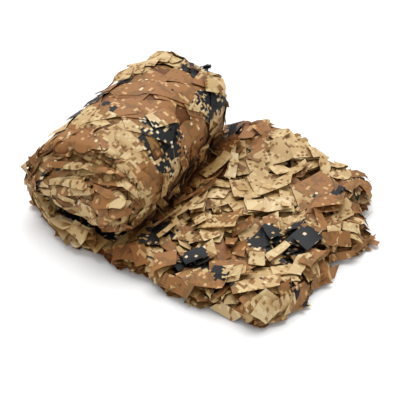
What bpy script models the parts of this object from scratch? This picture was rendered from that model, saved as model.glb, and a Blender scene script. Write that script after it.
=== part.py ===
"""A camouflage net, folded lengthwise and partly rolled up, with a loose end lying in front of the roll.

The net is a printed cloth with leaf-shaped cuts. It is folded to and fro across its width into a long
strip, and the strip is wound into a flattened roll. Two solids make it: the roll, one solid of its wound
form, and the loose end, the folded layers that lie under the roll and run out over the floor.
Leaves stand up from both. Each grows out of a slot in the cloth, so cloth and leaves are one solid.

Axes: +X runs from the roll towards the loose end's tip, +Y along the roll's axis, +Z up.
The origin is on the floor, in the flat underside of the loose end, below the crease in front of the roll.
Lengths are in metres.
"""

import math
import random
from collections import namedtuple

import bmesh
import bpy
from mathutils import Vector, noise
from mathutils.bvhtree import BVHTree

# The folded strip: its layers of cloth and the room that one turn of it takes.
LAYERS = 5
LAYER = 0.0020
LAYER_GAP = 0.0012
STACK = LAYERS * LAYER + (LAYERS - 1) * LAYER_GAP
REST_GAP = 0.0008
TURN_PITCH = STACK + REST_GAP

# The roll's cross-section at places along its axis: a flattened oval that stands on the floor.
Section = namedtuple("Section", "y centre_x half_width half_height")
ROLL_SECTIONS = (
    Section(-0.170, -0.095, 0.113, 0.065),
    Section(-0.080, -0.100, 0.106, 0.079),
    Section(0.000, -0.106, 0.098, 0.084),
    Section(0.075, -0.114, 0.092, 0.083),
    Section(0.160, -0.127, 0.082, 0.076),
)

# A turn is counted from the left, over the top, down the right and under, back to the left.
# Past DIP_START a turn sinks below the next one out, and lies on it from DIP_END on.
TURN_STEPS = 40
ROLL_TURNS = 3
RINGS_PER_TURN = 4
ROLL_STATIONS = 18
DIP_START = 0.45
DIP_END = 0.75
LEAVES_UP_TO_TURN = 0.58

# The near end: its outer rim round one turn, and inside it crumpled cloth that sags to a lip over a hollow.
Rim = namedtuple("Rim", "turn y")
NEAR_RIM = (
    Rim(0.00, -0.152),
    Rim(0.08, -0.146),
    Rim(0.16, -0.130),
    Rim(0.25, -0.114),
    Rim(0.38, -0.110),
    Rim(0.50, -0.116),
    Rim(0.60, -0.124),
    Rim(0.75, -0.126),
    Rim(0.90, -0.136),
    Rim(1.00, -0.146),
)
NEAR_END_Y = -0.140
RIM_ROUNDING = 0.014
LIP_Y = -0.151
LIP_HEIGHT = 0.054
LIP_WAVE = 0.005
LIP_ROUNDING = 0.010
FACE_TOP_Y = -0.120
FACE_SLOPE = 0.075
FACE_FOLD = 0.0034
FACE_FOLD_PITCH = 0.021
HOLLOW_DEPTH = 0.044
HOLLOW_LEFT = -0.190
HOLLOW_RIGHT = -0.012
HOLLOW_CORNER = 0.030

# The far end is plain: the edges of the turns, with grooves between them.
FAR_END_Y = 0.140
FAR_TOP_Y = 0.138
FAR_FOOT_Y = 0.148
GROOVE_DEPTH = 0.015
END_WAVE = 0.007

# Lumps of the cloth below, and the main creases over the roll, each a soft trough.
ROLL_LUMP = 0.0046
CREASE_WAVE = 0.006
Crease = namedtuple("Crease", "turn y end_turn end_y width depth")
ROLL_CREASES = (
    Crease(0.02, -0.118, 0.17, -0.098, 0.010, 0.0055),
    Crease(0.17, -0.098, 0.36, -0.090, 0.010, 0.0045),
    Crease(0.30, -0.070, 0.52, -0.052, 0.009, 0.0045),
    Crease(0.04, -0.045, 0.22, -0.020, 0.010, 0.0050),
    Crease(0.22, -0.020, 0.40, -0.012, 0.009, 0.0035),
    Crease(0.34, 0.030, 0.56, 0.018, 0.010, 0.0050),
    Crease(0.05, 0.050, 0.26, 0.066, 0.010, 0.0045),
    Crease(0.26, 0.092, 0.48, 0.080, 0.010, 0.0050),
    Crease(0.10, 0.112, 0.30, 0.122, 0.009, 0.0040),
)

# The loose end's two long edges, and the height of its stack near, midway and far, along the strip.
Strip = namedtuple("Strip", "x near_y far_y near_height mid_height far_height")
LOOSE_STRIPS = (
    Strip(-0.210, -0.156, 0.144, STACK, STACK, STACK),
    Strip(-0.145, -0.168, 0.150, STACK, STACK, STACK),
    Strip(-0.075, -0.170, 0.164, STACK, STACK, 0.016),
    Strip(-0.045, -0.160, 0.186, 0.018, 0.018, 0.030),
    Strip(-0.005, -0.166, 0.200, 0.022, 0.028, 0.046),
    Strip(0.050, -0.152, 0.200, 0.022, 0.030, 0.048),
    Strip(0.090, -0.157, 0.198, 0.022, 0.027, 0.040),
    Strip(0.130, -0.154, 0.192, 0.023, 0.027, 0.036),
    Strip(0.165, -0.140, 0.190, 0.024, 0.028, 0.036),
    Strip(0.205, -0.136, 0.190, 0.024, 0.028, 0.036),
    Strip(0.252, -0.128, 0.184, 0.019, 0.025, 0.034),
)

# How far the lowest layer and the top one reach, from the tip's near corner to its far one.
Tip = namedtuple("Tip", "share low_reach top_reach")
LOOSE_TIPS = (
    Tip(0.00, 0.228, 0.222),
    Tip(0.12, 0.250, 0.240),
    Tip(0.23, 0.256, 0.244),
    Tip(0.31, 0.240, 0.232),
    Tip(0.40, 0.262, 0.250),
    Tip(0.52, 0.236, 0.228),
    Tip(0.64, 0.264, 0.248),
    Tip(0.80, 0.268, 0.236),
    Tip(0.86, 0.240, 0.218),
    Tip(0.93, 0.226, 0.228),
    Tip(1.00, 0.198, 0.202),
)
MEAN_REACH = 0.262
CURVED_STEPS = round(TURN_STEPS * (1 - DIP_END))
STRAIGHT_STEPS = 14
LOOSE_STEPS = CURVED_STEPS + STRAIGHT_STEPS
BUTT_STEP = 0.14
TOP_COLUMNS = 13
LOWER_COLUMNS = 7
FOLD_TUCK = 1.4 * LAYER
FOLD_BULGE = 0.45
SURFACE_WAVE = 0.0045
EDGE_WAVE = 0.006
TIP_WAVE = 0.007

# Where the strip comes out from under the roll, as a share of its straight run, and where leaves begin.
CLEAR_RUN = 0.25
FIRST_RIM_STEP = 3
CRADLE_TURN = 0.83

# Lens-shaped openings through the top layer, one in so many of its faces.
CUT_LENGTH = 0.018
CUT_WIDTH = 0.0075
CUT_SPACING = 3
FIRST_CUT_STEP = 15
CUT_TURN_DEGREES = 60

# A leaf: a thin blade drawn out of a slot. Its width along its length is a share of its full width.
LEAF_THICKNESS = 0.0012
LEAF_CLEARANCE = 0.0006
SLOT_DEPTH = 0.0024
SLOT_WIDTH = 0.0125
BEND_SHARES = (0.22, 0.74, 1.0)
BEND_WIDTHS = (0.86, 1.0)
TIP_WIDTHS = (0.12, 0.18, 0.55)
LEAF_LIFT = 0.006
LEAF_SKEW = 0.006
LEAF_DROOP = (0.004, 0.014)
LEAF_ATTEMPTS = 6

# The lowest and highest x, y and z that a leaf may reach.
ROLL_LIMITS = (Vector((-0.226, -0.168, 0.0005)), Vector((0.010, 0.185, 0.172)))
LOOSE_LIMITS = (Vector((-0.226, -0.190, 0.0005)), Vector((0.287, 0.228, 0.085)))

# Beds of leaves: where they grow, how many are tried, which way they point in degrees from +X, their sizes,
# and how they lie: along the surface, out past an edge, or up from the face.
LeafBed = namedtuple("LeafBed", "place tries heading spread length width rise lie")
ROLL_BEDS = (
    LeafBed("wrap", 80, 5, 70, (0.040, 0.060), (0.022, 0.030), 0.0045, "along"),
    LeafBed("near_rim", 20, -90, 35, (0.032, 0.048), (0.020, 0.028), 0.0045, "out"),
    LeafBed("far_rim", 14, 90, 45, (0.030, 0.042), (0.018, 0.026), 0.0045, "out"),
    LeafBed("near_face", 14, 60, 60, (0.020, 0.032), (0.016, 0.022), 0.0, "up"),
    LeafBed("far_face", 8, 60, 60, (0.016, 0.026), (0.014, 0.020), 0.0, "up"),
    LeafBed("wrap", 90, -10, 80, (0.036, 0.052), (0.020, 0.028), 0.0085, "along"),
)
LOOSE_BEDS = (
    LeafBed("tip_rim", 30, 5, 40, (0.030, 0.044), (0.018, 0.026), 0.0040, "out"),
    LeafBed("near_rim", 30, -85, 40, (0.026, 0.040), (0.018, 0.026), 0.0040, "out"),
    LeafBed("far_rim", 18, 80, 40, (0.024, 0.034), (0.018, 0.026), 0.0040, "out"),
    LeafBed("cradle", 12, 0, 70, (0.030, 0.044), (0.020, 0.026), 0.0040, "along"),
    LeafBed("top", 130, -40, 75, (0.040, 0.062), (0.022, 0.030), 0.0050, "along"),
    LeafBed("top", 150, -60, 90, (0.034, 0.052), (0.020, 0.028), 0.0092, "along"),
)

CLOTH_COLOUR = (0.478, 0.342, 0.195, 1.0)
CLOTH_ROUGHNESS = 0.75
SHARP_EDGE_DEGREES = 35

UP = Vector((0.0, 0.0, 1.0))


def blend(a, b, share):
    return a + (b - a) * share


def smooth(share):
    """0 below 0, 1 above 1, and a soft step between."""
    share = min(1.0, max(0.0, share))
    return share * share * (3 - 2 * share)


def lookup(table, value):
    """The row of a table at a value of its first column, straight between the rows given."""
    for low, high in zip(table, table[1:]):
        if value < high[0]:
            share = max(0.0, (value - low[0]) / (high[0] - low[0]))
            return type(low)(*(blend(a, b, share) for a, b in zip(low, high)))
    return table[-1]


def wave(seed, u, v=0.0):
    """Smooth unevenness from -1 to 1, the same on every run."""
    return noise.noise(Vector((u, v, 7.31 * seed)))


def oval_point(y, turn, inset):
    """A point of the roll's oval at that share of a turn, moved inwards by inset."""
    section = lookup(ROLL_SECTIONS, y)
    angle = math.pi * (1 - 2 * turn)
    x = section.centre_x + (section.half_width - inset) * math.cos(angle)
    z = section.half_height + (section.half_height - inset) * math.sin(angle)
    return Vector((x, y, z))


def add_quad(mesh, first, second, i):
    """The face between two rows of vertices, from place i to the next."""
    return mesh.faces.new((first[i], first[i + 1], second[i + 1], second[i]))


# The roll


def ring_inset(ring, turn):
    """How far inside the outer oval a ring of the spiral lies."""
    dip = smooth((turn - DIP_START) / (DIP_END - DIP_START))
    return TURN_PITCH * (ring / RINGS_PER_TURN + dip)


def near_face_y(x, z):
    """The near end inside its rim: it bulges as it sags to the lip, and is hollow under the lip."""
    lip = LIP_HEIGHT + LIP_WAVE * wave(14, x * 16)
    face = blend(LIP_Y, FACE_TOP_Y, smooth((z - lip) / FACE_SLOPE))
    fold = math.sin(z / FACE_FOLD_PITCH * math.tau + 2.6 * wave(13, x * 15, z * 12))
    face -= FACE_FOLD * fold * smooth((z - lip) / LIP_ROUNDING)
    inside = smooth((x - HOLLOW_LEFT) / HOLLOW_CORNER) * smooth((HOLLOW_RIGHT - x) / HOLLOW_CORNER)
    return face + HOLLOW_DEPTH * smooth((lip - z) / LIP_ROUNDING) * inside


def end_y(ring, turn, near):
    """Where a ring ends along the axis. The near end's grooves fade out over the top of the roll."""
    inset = ring_inset(ring, turn)
    ridge = END_WAVE * wave(11 if near else 12, (ring / RINGS_PER_TURN + turn) * 3.1)
    groove = GROOVE_DEPTH if ring % RINGS_PER_TURN == 0 and ring > 0 else 0.0
    if near:
        place = oval_point(NEAR_END_Y, turn, inset)
        inward = smooth(ring * TURN_PITCH / RINGS_PER_TURN / RIM_ROUNDING)
        open_turn = max(smooth((0.24 - turn) / 0.14), smooth((turn - 0.72) / 0.12))
        base = blend(lookup(NEAR_RIM, turn).y, near_face_y(place.x, place.z), inward)
        return base + 0.6 * ridge + groove * open_turn
    place = oval_point(FAR_END_Y, turn, inset)
    height = place.z / (2 * lookup(ROLL_SECTIONS, FAR_END_Y).half_height)
    return blend(FAR_FOOT_Y, FAR_TOP_Y, smooth(height)) + ridge - groove


def crease_depth(turn, y):
    """How deep the main creases are at a place on the roll."""
    depth = 0.0
    for crease in ROLL_CREASES:
        share = min(1.0, max(0.0, (turn - crease.turn) / (crease.end_turn - crease.turn)))
        line_y = blend(crease.y, crease.end_y, share) + CREASE_WAVE * wave(17, turn * 14, crease.y * 40)
        fade = smooth((turn - crease.turn + 0.03) / 0.05) * smooth((crease.end_turn + 0.03 - turn) / 0.05)
        depth += crease.depth * fade * math.exp(-(((y - line_y) / crease.width) ** 2))
    return depth


def roll_point(ring, turn, y):
    """A point of the roll's surface or of an end ring. It is smooth where the loose end lies against it."""
    free = smooth(turn / 0.06) * smooth((0.62 - turn) / 0.10)
    lump = wave(3, turn * 9, y * 22) + 0.5 * wave(4, turn * 19, y * 45)
    lump *= ROLL_LUMP * free * max(0.0, 1 - ring / (2 * RINGS_PER_TURN))
    if ring == 0:
        lump -= free * crease_depth(turn, y)
    return oval_point(y, turn, ring_inset(ring, turn) - lump)


def build_roll_end(mesh, near):
    """Closes one end with rings that spiral inwards. Returns the outer rim and the edge of the turn's step."""
    last_ring = ROLL_TURNS * RINGS_PER_TURN
    points = {}

    def point(ring, step):
        # A ring's last step is the first step of the ring one turn further in.
        if step == TURN_STEPS:
            ring, step = ring + RINGS_PER_TURN, 0
        if (ring, step) not in points:
            turn = step / TURN_STEPS
            points[ring, step] = mesh.verts.new(roll_point(ring, turn, end_y(ring, turn, near)))
        return points[ring, step]

    rows = [[point(ring, step) for step in range(TURN_STEPS + 1)] for ring in range(last_ring + 1)]
    for row, after in zip(rows, rows[1:]):
        for step in range(TURN_STEPS):
            add_quad(mesh, row, after, step)
    core = rows[-1][:-1] + [point(last_ring + extra, 0) for extra in range(RINGS_PER_TURN, 0, -1)]
    middle = mesh.verts.new(sum((vertex.co for vertex in core), Vector()) / len(core))
    for a, b in zip(core, core[1:] + core[:1]):
        mesh.faces.new((a, b, middle))
    return rows[0], [rows[ring][0] for ring in range(1, RINGS_PER_TURN)]


def build_roll():
    """The wound form: two spiral ends, the outer turn between them, and the step where it began."""
    mesh = bmesh.new()
    near_rim, near_step = build_roll_end(mesh, True)
    far_rim, far_step = build_roll_end(mesh, False)
    rows = [near_rim]
    for station in range(1, ROLL_STATIONS):
        row = []
        for step, (near, far) in enumerate(zip(near_rim, far_rim)):
            y = blend(near.co.y, far.co.y, station / ROLL_STATIONS)
            row.append(mesh.verts.new(roll_point(0, step / TURN_STEPS, y)))
        rows.append(row)
    rows.append(far_rim)

    beds = {"wrap": [], "near_rim": [], "far_rim": [], "near_face": [], "far_face": []}
    places = {0: "near_rim", ROLL_STATIONS - 1: "far_rim"}
    for station, (row, after) in enumerate(zip(rows, rows[1:])):
        for step in range(TURN_STEPS):
            face = add_quad(mesh, row, after, step)
            if step < LEAVES_UP_TO_TURN * TURN_STEPS:
                beds[places.get(station, "wrap")].append(face)
        step_face = [row[-1], after[-1], after[0], row[0]]
        if station == 0:
            step_face += near_step
        if station == ROLL_STATIONS - 1:
            step_face[2:2] = reversed(far_step)
        mesh.faces.new(step_face)
    bmesh.ops.recalc_face_normals(mesh, faces=mesh.faces)
    for face in mesh.faces:
        broad = len(face.verts) == 4 and face.calc_area() > 3.5e-5
        if broad and abs(face.normal.y) > 0.75 and face.calc_center_median().z > LIP_HEIGHT:
            beds["near_face" if face.normal.y < 0 else "far_face"].append(face)
    return mesh, beds


# The loose end


def loose_station(step):
    """The share of a turn there or None, the share of the straight run, and the nominal x."""
    if step <= CURVED_STEPS:
        turn = 1 - max(step, BUTT_STEP) / TURN_STEPS
        return turn, 0.0, oval_point(0.0, turn, 0.0).x
    run = (step - CURVED_STEPS) / STRAIGHT_STEPS
    return None, run, blend(oval_point(0.0, DIP_END, 0.0).x, MEAN_REACH, run)


def loose_height(strip, across):
    """The height of the folded stack at that share of the way from the near edge to the far one."""
    if across < 0.5:
        return blend(strip.near_height, strip.mid_height, smooth(2 * across))
    return blend(strip.mid_height, strip.far_height, smooth(2 * across - 1))


def loose_point(step, across, layer, upper):
    """A point on the upper or lower side of one layer."""
    turn, run, x = loose_station(step)
    loose = smooth(run / CLEAR_RUN)
    strip = lookup(LOOSE_STRIPS, x)
    # Two layers that share a fold also share its edge.
    fold = (layer + 1) // 2 if across < 0.5 else layer // 2
    drift = EDGE_WAVE * wave(21 + fold, x * 38, across) * blend(0.35, 1.0, loose)
    y = blend(strip.near_y, strip.far_y, across) + drift * abs(2 * across - 1)
    if across in (0.0, 1.0) and inside_fold(layer, upper, across == 1.0):
        y += FOLD_TUCK if across == 0.0 else -FOLD_TUCK
    swell = wave(31, x * 17, y * 17) + 0.5 * wave(32, x * 41, y * 41)
    height = max(STACK, loose_height(strip, across) + SURFACE_WAVE * swell * loose)
    lift = layer * (height - LAYER) / (LAYERS - 1) + (LAYER if upper else 0.0)
    if turn is not None:
        return oval_point(y, turn, lift)
    tip = lookup(LOOSE_TIPS, across)
    reach = blend(tip.low_reach, tip.top_reach, smooth(1.4 * layer / (LAYERS - 1) - 0.3))
    reach += TIP_WAVE * wave(41 + layer, across * 7)
    return Vector((blend(oval_point(y, DIP_END, 0.0).x, reach, run), y, lift))


def inside_fold(layer, upper, far):
    """Whether that corner of a layer is on the inside of a fold. Even layers fold up at the far edge."""
    lower = layer if upper else layer - 1
    return 0 <= lower < LAYERS - 1 and (lower % 2 == 0) == far


def add_fold(mesh, sides, lower):
    """Joins a layer to the one above it: round the outside of the fold, and inside it."""
    far = lower % 2 == 0
    column = -1 if far else 0
    outer_low, inner_low, inner_high, outer_high = (
        [row[column] for row in sides[layer, upper]]
        for layer, upper in ((lower, False), (lower, True), (lower + 1, False), (lower + 1, True))
    )
    outward = Vector((0, 1 if far else -1, 0))
    bulge = []
    for low, high in zip(outer_low, outer_high):
        height = (high.co - low.co).length
        bulge.append(mesh.verts.new((low.co + high.co) / 2 + outward * height * FOLD_BULGE))
    for step in range(LOOSE_STEPS):
        add_quad(mesh, outer_low, bulge, step)
        add_quad(mesh, bulge, outer_high, step)
        add_quad(mesh, inner_low, inner_high, step)
    for end in (0, -1):
        mesh.faces.new((outer_low[end], bulge[end], outer_high[end], inner_high[end], inner_low[end]))


def build_loose_end():
    """The strip's layers, folded to and fro across its width and swept along the strip."""
    mesh = bmesh.new()
    beds = {"top": [], "near_rim": [], "far_rim": [], "tip_rim": [], "cradle": []}
    sides = {}
    for layer in range(LAYERS):
        columns = TOP_COLUMNS if layer == LAYERS - 1 else LOWER_COLUMNS
        for upper in (False, True):
            grid = []
            for step in range(LOOSE_STEPS + 1):
                places = [loose_point(step, column / columns, layer, upper) for column in range(columns + 1)]
                grid.append([mesh.verts.new(place) for place in places])
            sides[layer, upper] = grid
            for step in range(LOOSE_STEPS):
                for column in range(columns):
                    face = add_quad(mesh, grid[step], grid[step + 1], column)
                    bed = leaf_bed(layer, upper, step, column)
                    if bed:
                        beds[bed].append(face)
        for end in (0, -1):
            for column in range(columns):
                add_quad(mesh, sides[layer, False][end], sides[layer, True][end], column)

    for lower in range(LAYERS - 1):
        add_fold(mesh, sides, lower)
    for layer, column in ((0, 0), (LAYERS - 1, -1)):
        low, high = ([row[column] for row in sides[layer, upper]] for upper in (False, True))
        for step in range(LOOSE_STEPS):
            add_quad(mesh, low, high, step)
    bmesh.ops.recalc_face_normals(mesh, faces=mesh.faces)
    return mesh, beds, sides


def leaf_bed(layer, upper, step, column):
    """The bed of leaves that a face of the loose end belongs to, or None where no leaf grows."""
    turn, run, _ = loose_station(step)
    if layer == LAYERS - 1 and upper:
        if step == LOOSE_STEPS - 1:
            return "tip_rim"
        if column == 0:
            return "near_rim" if step >= FIRST_RIM_STEP else None
        if run > CLEAR_RUN:
            return "far_rim" if column == TOP_COLUMNS - 1 else "top"
    if layer == 0 and not upper and turn is not None and turn > CRADLE_TURN:
        return "cradle"
    return None


def ring_of(mesh, face, corners):
    """Replaces a face by a ring of faces round new corners. Returns their vertices."""
    outer = list(face.verts)
    shift = min(range(4), key=lambda s: sum((outer[i].co - corners[(i + s) % 4]).length for i in range(4)))
    inner = [mesh.verts.new(corners[(i + shift) % 4]) for i in range(4)]
    mesh.faces.remove(face)
    join_loops(mesh, outer, inner)
    return inner


def join_loops(mesh, first, second):
    """Faces between two closed loops of as many vertices."""
    for i in range(len(first)):
        add_quad(mesh, first[i:] + first[:1], second[i:] + second[:1], 0)


def cut_openings(mesh, sides, beds):
    """Cuts lens-shaped openings through the top layer, and takes their faces out of the leaves' bed."""
    draw = random.Random(8)
    faces = {frozenset(face.verts): face for face in mesh.faces}
    count = 0
    for step in range(FIRST_CUT_STEP, LOOSE_STEPS - 1):
        for column in range(1, TOP_COLUMNS - 1):
            if (step + 2 * column) % CUT_SPACING:
                continue
            top_face, bottom_face = (
                faces[frozenset(sides[LAYERS - 1, upper][step + a][column + b] for a in (0, 1) for b in (0, 1))]
                for upper in (True, False)
            )
            angle = math.radians(draw.uniform(-CUT_TURN_DEGREES, CUT_TURN_DEGREES))
            along = Vector((math.cos(angle), math.sin(angle), 0))
            aside = along.cross(UP) * CUT_WIDTH / 2
            along *= CUT_LENGTH / 2
            middle = top_face.calc_center_median()
            rim = [middle - along, middle - aside, middle + along, middle + aside]
            beds["top"].remove(top_face)
            top = ring_of(mesh, top_face, rim)
            lower_rim = ring_of(mesh, bottom_face, [place - UP * LAYER for place in reversed(rim)])
            bottom = [min(lower_rim, key=lambda v: (v.co - vertex.co).length) for vertex in top]
            join_loops(mesh, top, bottom)
            count += 1
    bmesh.ops.recalc_face_normals(mesh, faces=mesh.faces)
    return count


# The leaves. A leaf is a row of cross-sections, the first of them its slot in the cloth.

LeafSection = namedtuple("LeafSection", "centre side up width")


def leaf_spine(surface, face, heading, bed, length, lift, droop):
    """The leaf's direction where it starts, and the middle of its slot and of each bend."""
    middle, normal = face.calc_center_median(), face.normal
    aim = Vector((math.cos(heading), math.sin(heading), 0))
    if bed.lie == "along":
        aim = UP.rotation_difference(normal) @ aim
    if bed.lie == "up":
        aim = Vector((math.cos(heading), 0, math.sin(heading)))
    aim = (aim - normal * aim.dot(normal)).normalized()
    spine = [middle.copy()]
    for share in BEND_SHARES:
        if bed.lie == "up":
            spine.append(middle + (normal * share + aim * 0.25 * share * share) * length)
            continue
        ahead = middle + aim * share * length
        height = bed.rise + lift * share * share
        if bed.lie == "along":
            place, up, _, _ = surface.find_nearest(ahead)
            spine.append(place + up * height)
        else:
            spine.append(ahead + normal * height - UP * droop * share * share)
    return aim, spine


def leaf_sections(surface, face, bed, draw):
    """A leaf that grows from a face of a bed, its size and direction drawn within the bed's limits."""
    heading = math.radians(bed.heading + draw.uniform(-bed.spread, bed.spread))
    full_width = draw.uniform(*bed.width)
    skew = draw.uniform(-LEAF_SKEW, LEAF_SKEW)
    widths = [full_width * share for share in BEND_WIDTHS + (draw.choice(TIP_WIDTHS),)]
    length, lift, droop = draw.uniform(*bed.length), draw.uniform(0, LEAF_LIFT), draw.uniform(*LEAF_DROOP)
    aim, spine = leaf_spine(surface, face, heading, bed, length, lift, droop)
    side = aim.cross(face.normal)
    sections = [LeafSection(spine[0], side, -aim, SLOT_WIDTH)]
    for i, (share, width) in enumerate(zip(BEND_SHARES, widths), start=1):
        run = (spine[min(i + 1, len(spine) - 1)] - spine[i - 1]).normalized()
        across = (side - run * side.dot(run)).normalized()
        sections.append(LeafSection(spine[i] + across * skew * share, across, across.cross(run), width))
    return sections


def section_corners(section, thickness, wider=0.0):
    half, rise = section.side * (section.width + wider) / 2, section.up * thickness / 2
    centre = section.centre
    return [centre - half + rise, centre + half + rise, centre + half - rise, centre - half - rise]


def leaf_tree(sections):
    """The leaf a little enlarged, from halfway up its first bend on, to test what it would touch."""
    start = LeafSection(*((a + b) / 2 for a, b in zip(sections[0], sections[1])))
    points, faces = [], [(3, 2, 1, 0)]
    for section in [start] + sections[1:]:
        points += section_corners(section, LEAF_THICKNESS + 2 * LEAF_CLEARANCE, 2 * LEAF_CLEARANCE)
    for first in range(0, len(points) - 4, 4):
        for i in range(4):
            j = (i + 1) % 4
            faces.append((first + i, first + j, first + 4 + j, first + 4 + i))
    faces.append(tuple(range(len(points) - 4, len(points))))
    return BVHTree.FromPolygons(points, faces), points


def grow_leaf(mesh, face, sections):
    """Opens the slot in the face and draws the leaf out of it, bend by bend."""
    slot = section_corners(sections[0], SLOT_DEPTH)
    loop = ring_of(mesh, face, slot)
    shift = min(range(4), key=lambda s: (loop[0].co - slot[s]).length)
    for section in sections[1:]:
        corners = section_corners(section, LEAF_THICKNESS)
        following = [mesh.verts.new(corners[(i + shift) % 4]) for i in range(4)]
        join_loops(mesh, loop, following)
        loop = following
    mesh.faces.new(loop)


def plant(mesh, beds, rows, limits, surface, obstacles, seed):
    """Tries leaves in each bed, and grows those that touch nothing and stay inside the limits."""
    draw = random.Random(seed)
    low, high = limits
    taken = set()
    for bed in rows:
        faces = [face for face in beds[bed.place] if face not in taken]
        draw.shuffle(faces)
        for face in faces[: bed.tries]:
            for _ in range(LEAF_ATTEMPTS):
                sections = leaf_sections(surface, face, bed, draw)
                tree, points = leaf_tree(sections)
                outside = any(not low[i] < point[i] < high[i] for point in points for i in range(3))
                if outside or any(tree.overlap(other) for other in obstacles):
                    continue
                obstacles.append(tree)
                taken.add(face)
                grow_leaf(mesh, face, sections)
                break
    return len(taken)


def cloth_material(name):
    material = bpy.data.materials.new(name)
    material.use_nodes = True
    shader = material.node_tree.nodes["Principled BSDF"]
    shader.inputs["Base Color"].default_value = CLOTH_COLOUR
    shader.inputs["Roughness"].default_value = CLOTH_ROUGHNESS
    shader.inputs["Metallic"].default_value = 0.0
    return material


def add_solid(mesh, name, material):
    """Turns the mesh into one named object with its material."""
    bmesh.ops.recalc_face_normals(mesh, faces=mesh.faces)
    data = bpy.data.meshes.new(name)
    mesh.to_mesh(data)
    mesh.free()
    data.shade_smooth()
    data.set_sharp_from_angle(angle=math.radians(SHARP_EDGE_DEGREES))
    data.materials.append(material)
    solid = bpy.data.objects.new(name, data)
    bpy.context.scene.collection.objects.link(solid)


def main():
    for old in list(bpy.data.objects):
        bpy.data.objects.remove(old)
    roll, roll_beds = build_roll()
    loose, loose_beds, sides = build_loose_end()
    openings = cut_openings(loose, sides, loose_beds)
    roll_surface, loose_surface = BVHTree.FromBMesh(roll), BVHTree.FromBMesh(loose)
    obstacles = [roll_surface, loose_surface]
    on_roll = plant(roll, roll_beds, ROLL_BEDS, ROLL_LIMITS, roll_surface, obstacles, seed=5)
    on_loose_end = plant(loose, loose_beds, LOOSE_BEDS, LOOSE_LIMITS, loose_surface, obstacles, seed=9)
    add_solid(roll, "rolled_net", cloth_material("rolled_cloth"))
    add_solid(loose, "loose_end", cloth_material("loose_cloth"))
    print(on_roll, "leaves on the roll,", on_loose_end, "on the loose end,", openings, "openings")


main()
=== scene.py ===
import math
import random
from functools import partial

import bpy
import numpy as np
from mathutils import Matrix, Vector, noise
from mathutils.bvhtree import BVHTree


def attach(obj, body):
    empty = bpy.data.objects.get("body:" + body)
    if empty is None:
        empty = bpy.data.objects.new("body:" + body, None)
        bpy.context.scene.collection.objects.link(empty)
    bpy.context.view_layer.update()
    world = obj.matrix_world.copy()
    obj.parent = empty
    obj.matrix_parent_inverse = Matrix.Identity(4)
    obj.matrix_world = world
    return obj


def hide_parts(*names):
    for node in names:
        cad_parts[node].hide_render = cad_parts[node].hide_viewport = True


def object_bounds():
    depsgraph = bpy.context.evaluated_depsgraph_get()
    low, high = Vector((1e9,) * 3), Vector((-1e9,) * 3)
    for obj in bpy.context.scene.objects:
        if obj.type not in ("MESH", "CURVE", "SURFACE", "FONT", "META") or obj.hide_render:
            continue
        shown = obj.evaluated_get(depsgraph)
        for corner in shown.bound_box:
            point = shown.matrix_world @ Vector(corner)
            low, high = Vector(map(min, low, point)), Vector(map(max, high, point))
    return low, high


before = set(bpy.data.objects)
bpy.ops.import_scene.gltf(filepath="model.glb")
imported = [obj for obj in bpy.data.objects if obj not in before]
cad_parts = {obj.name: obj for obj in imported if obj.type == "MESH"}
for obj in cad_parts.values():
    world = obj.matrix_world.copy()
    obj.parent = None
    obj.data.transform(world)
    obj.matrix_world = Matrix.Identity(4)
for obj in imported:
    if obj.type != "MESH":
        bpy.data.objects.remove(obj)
cadLow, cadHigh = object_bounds()
xWay, yWay, up = Vector((1, 0, 0)), Vector((0, 1, 0)), Vector((0, 0, 1))

roll = {  # the wound part: rows are y, centre x, half width, half height of its flattened oval
    "sections": (
        (-0.170, -0.094, 0.103, 0.064),
        (-0.080, -0.100, 0.104, 0.079),
        (0.000, -0.106, 0.098, 0.084),
        (0.075, -0.114, 0.092, 0.083),
        (0.160, -0.127, 0.082, 0.076),
    ),
    # where the near end's outer rim is, round one turn: left 0, top 0.25, right 0.5, below 0.75
    "nearRim": (
        (0.00, -0.152), (0.08, -0.146), (0.16, -0.130), (0.25, -0.114), (0.38, -0.110),
        (0.50, -0.116), (0.60, -0.124), (0.75, -0.126), (0.90, -0.136), (1.00, -0.146),
    ),
    # soft troughs over it: from turn and y, to turn and y, half width, depth
    "creases": (
        (0.02, -0.118, 0.17, -0.098, 0.010, 0.0055),
        (0.17, -0.098, 0.36, -0.090, 0.010, 0.0045),
        (0.30, -0.070, 0.52, -0.052, 0.009, 0.0045),
        (0.04, -0.045, 0.22, -0.020, 0.010, 0.0050),
        (0.22, -0.020, 0.40, -0.012, 0.009, 0.0035),
        (0.34, 0.030, 0.56, 0.018, 0.010, 0.0050),
        (0.05, 0.050, 0.26, 0.066, 0.010, 0.0045),
        (0.26, 0.092, 0.48, 0.080, 0.010, 0.0050),
        (0.10, 0.112, 0.30, 0.122, 0.009, 0.0040),
    ),
    "squarer": (0.02, 0.15, 3.2),  # from this y to that one the oval's upper corners fill out to this power
    "turns": 3,
    "turnPitch": 0.0156,
    "dip": (0.45, 0.75),  # between these shares of a turn the strip sinks below the next turn out
    "lump": 0.0046,
    "radius": 0.085,  # half its thickness, all in all
    "footRadius": 0.108,  # how gently it curves up from the floor
    "faceAt": -0.140,  # the sections that its near and far ends are worked out from
    "farAt": 0.140,
    "rimRounding": 0.014,
    "pleat": 0.021,  # the near end hangs in folds so far apart and so deep
    "pleatDepth": 0.0034,
    "endRidge": 0.0042,  # how uneven its turns' edges are
    "lipY": -0.151,
    "lipHeight": 0.070,
    "faceTopY": -0.120,
    "faceSlope": 0.075,
    "hollowDepth": 0.044,
    "hollow": (-0.190, -0.012),
    "farTopY": 0.138,
    "farFootY": 0.148,
}
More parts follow.
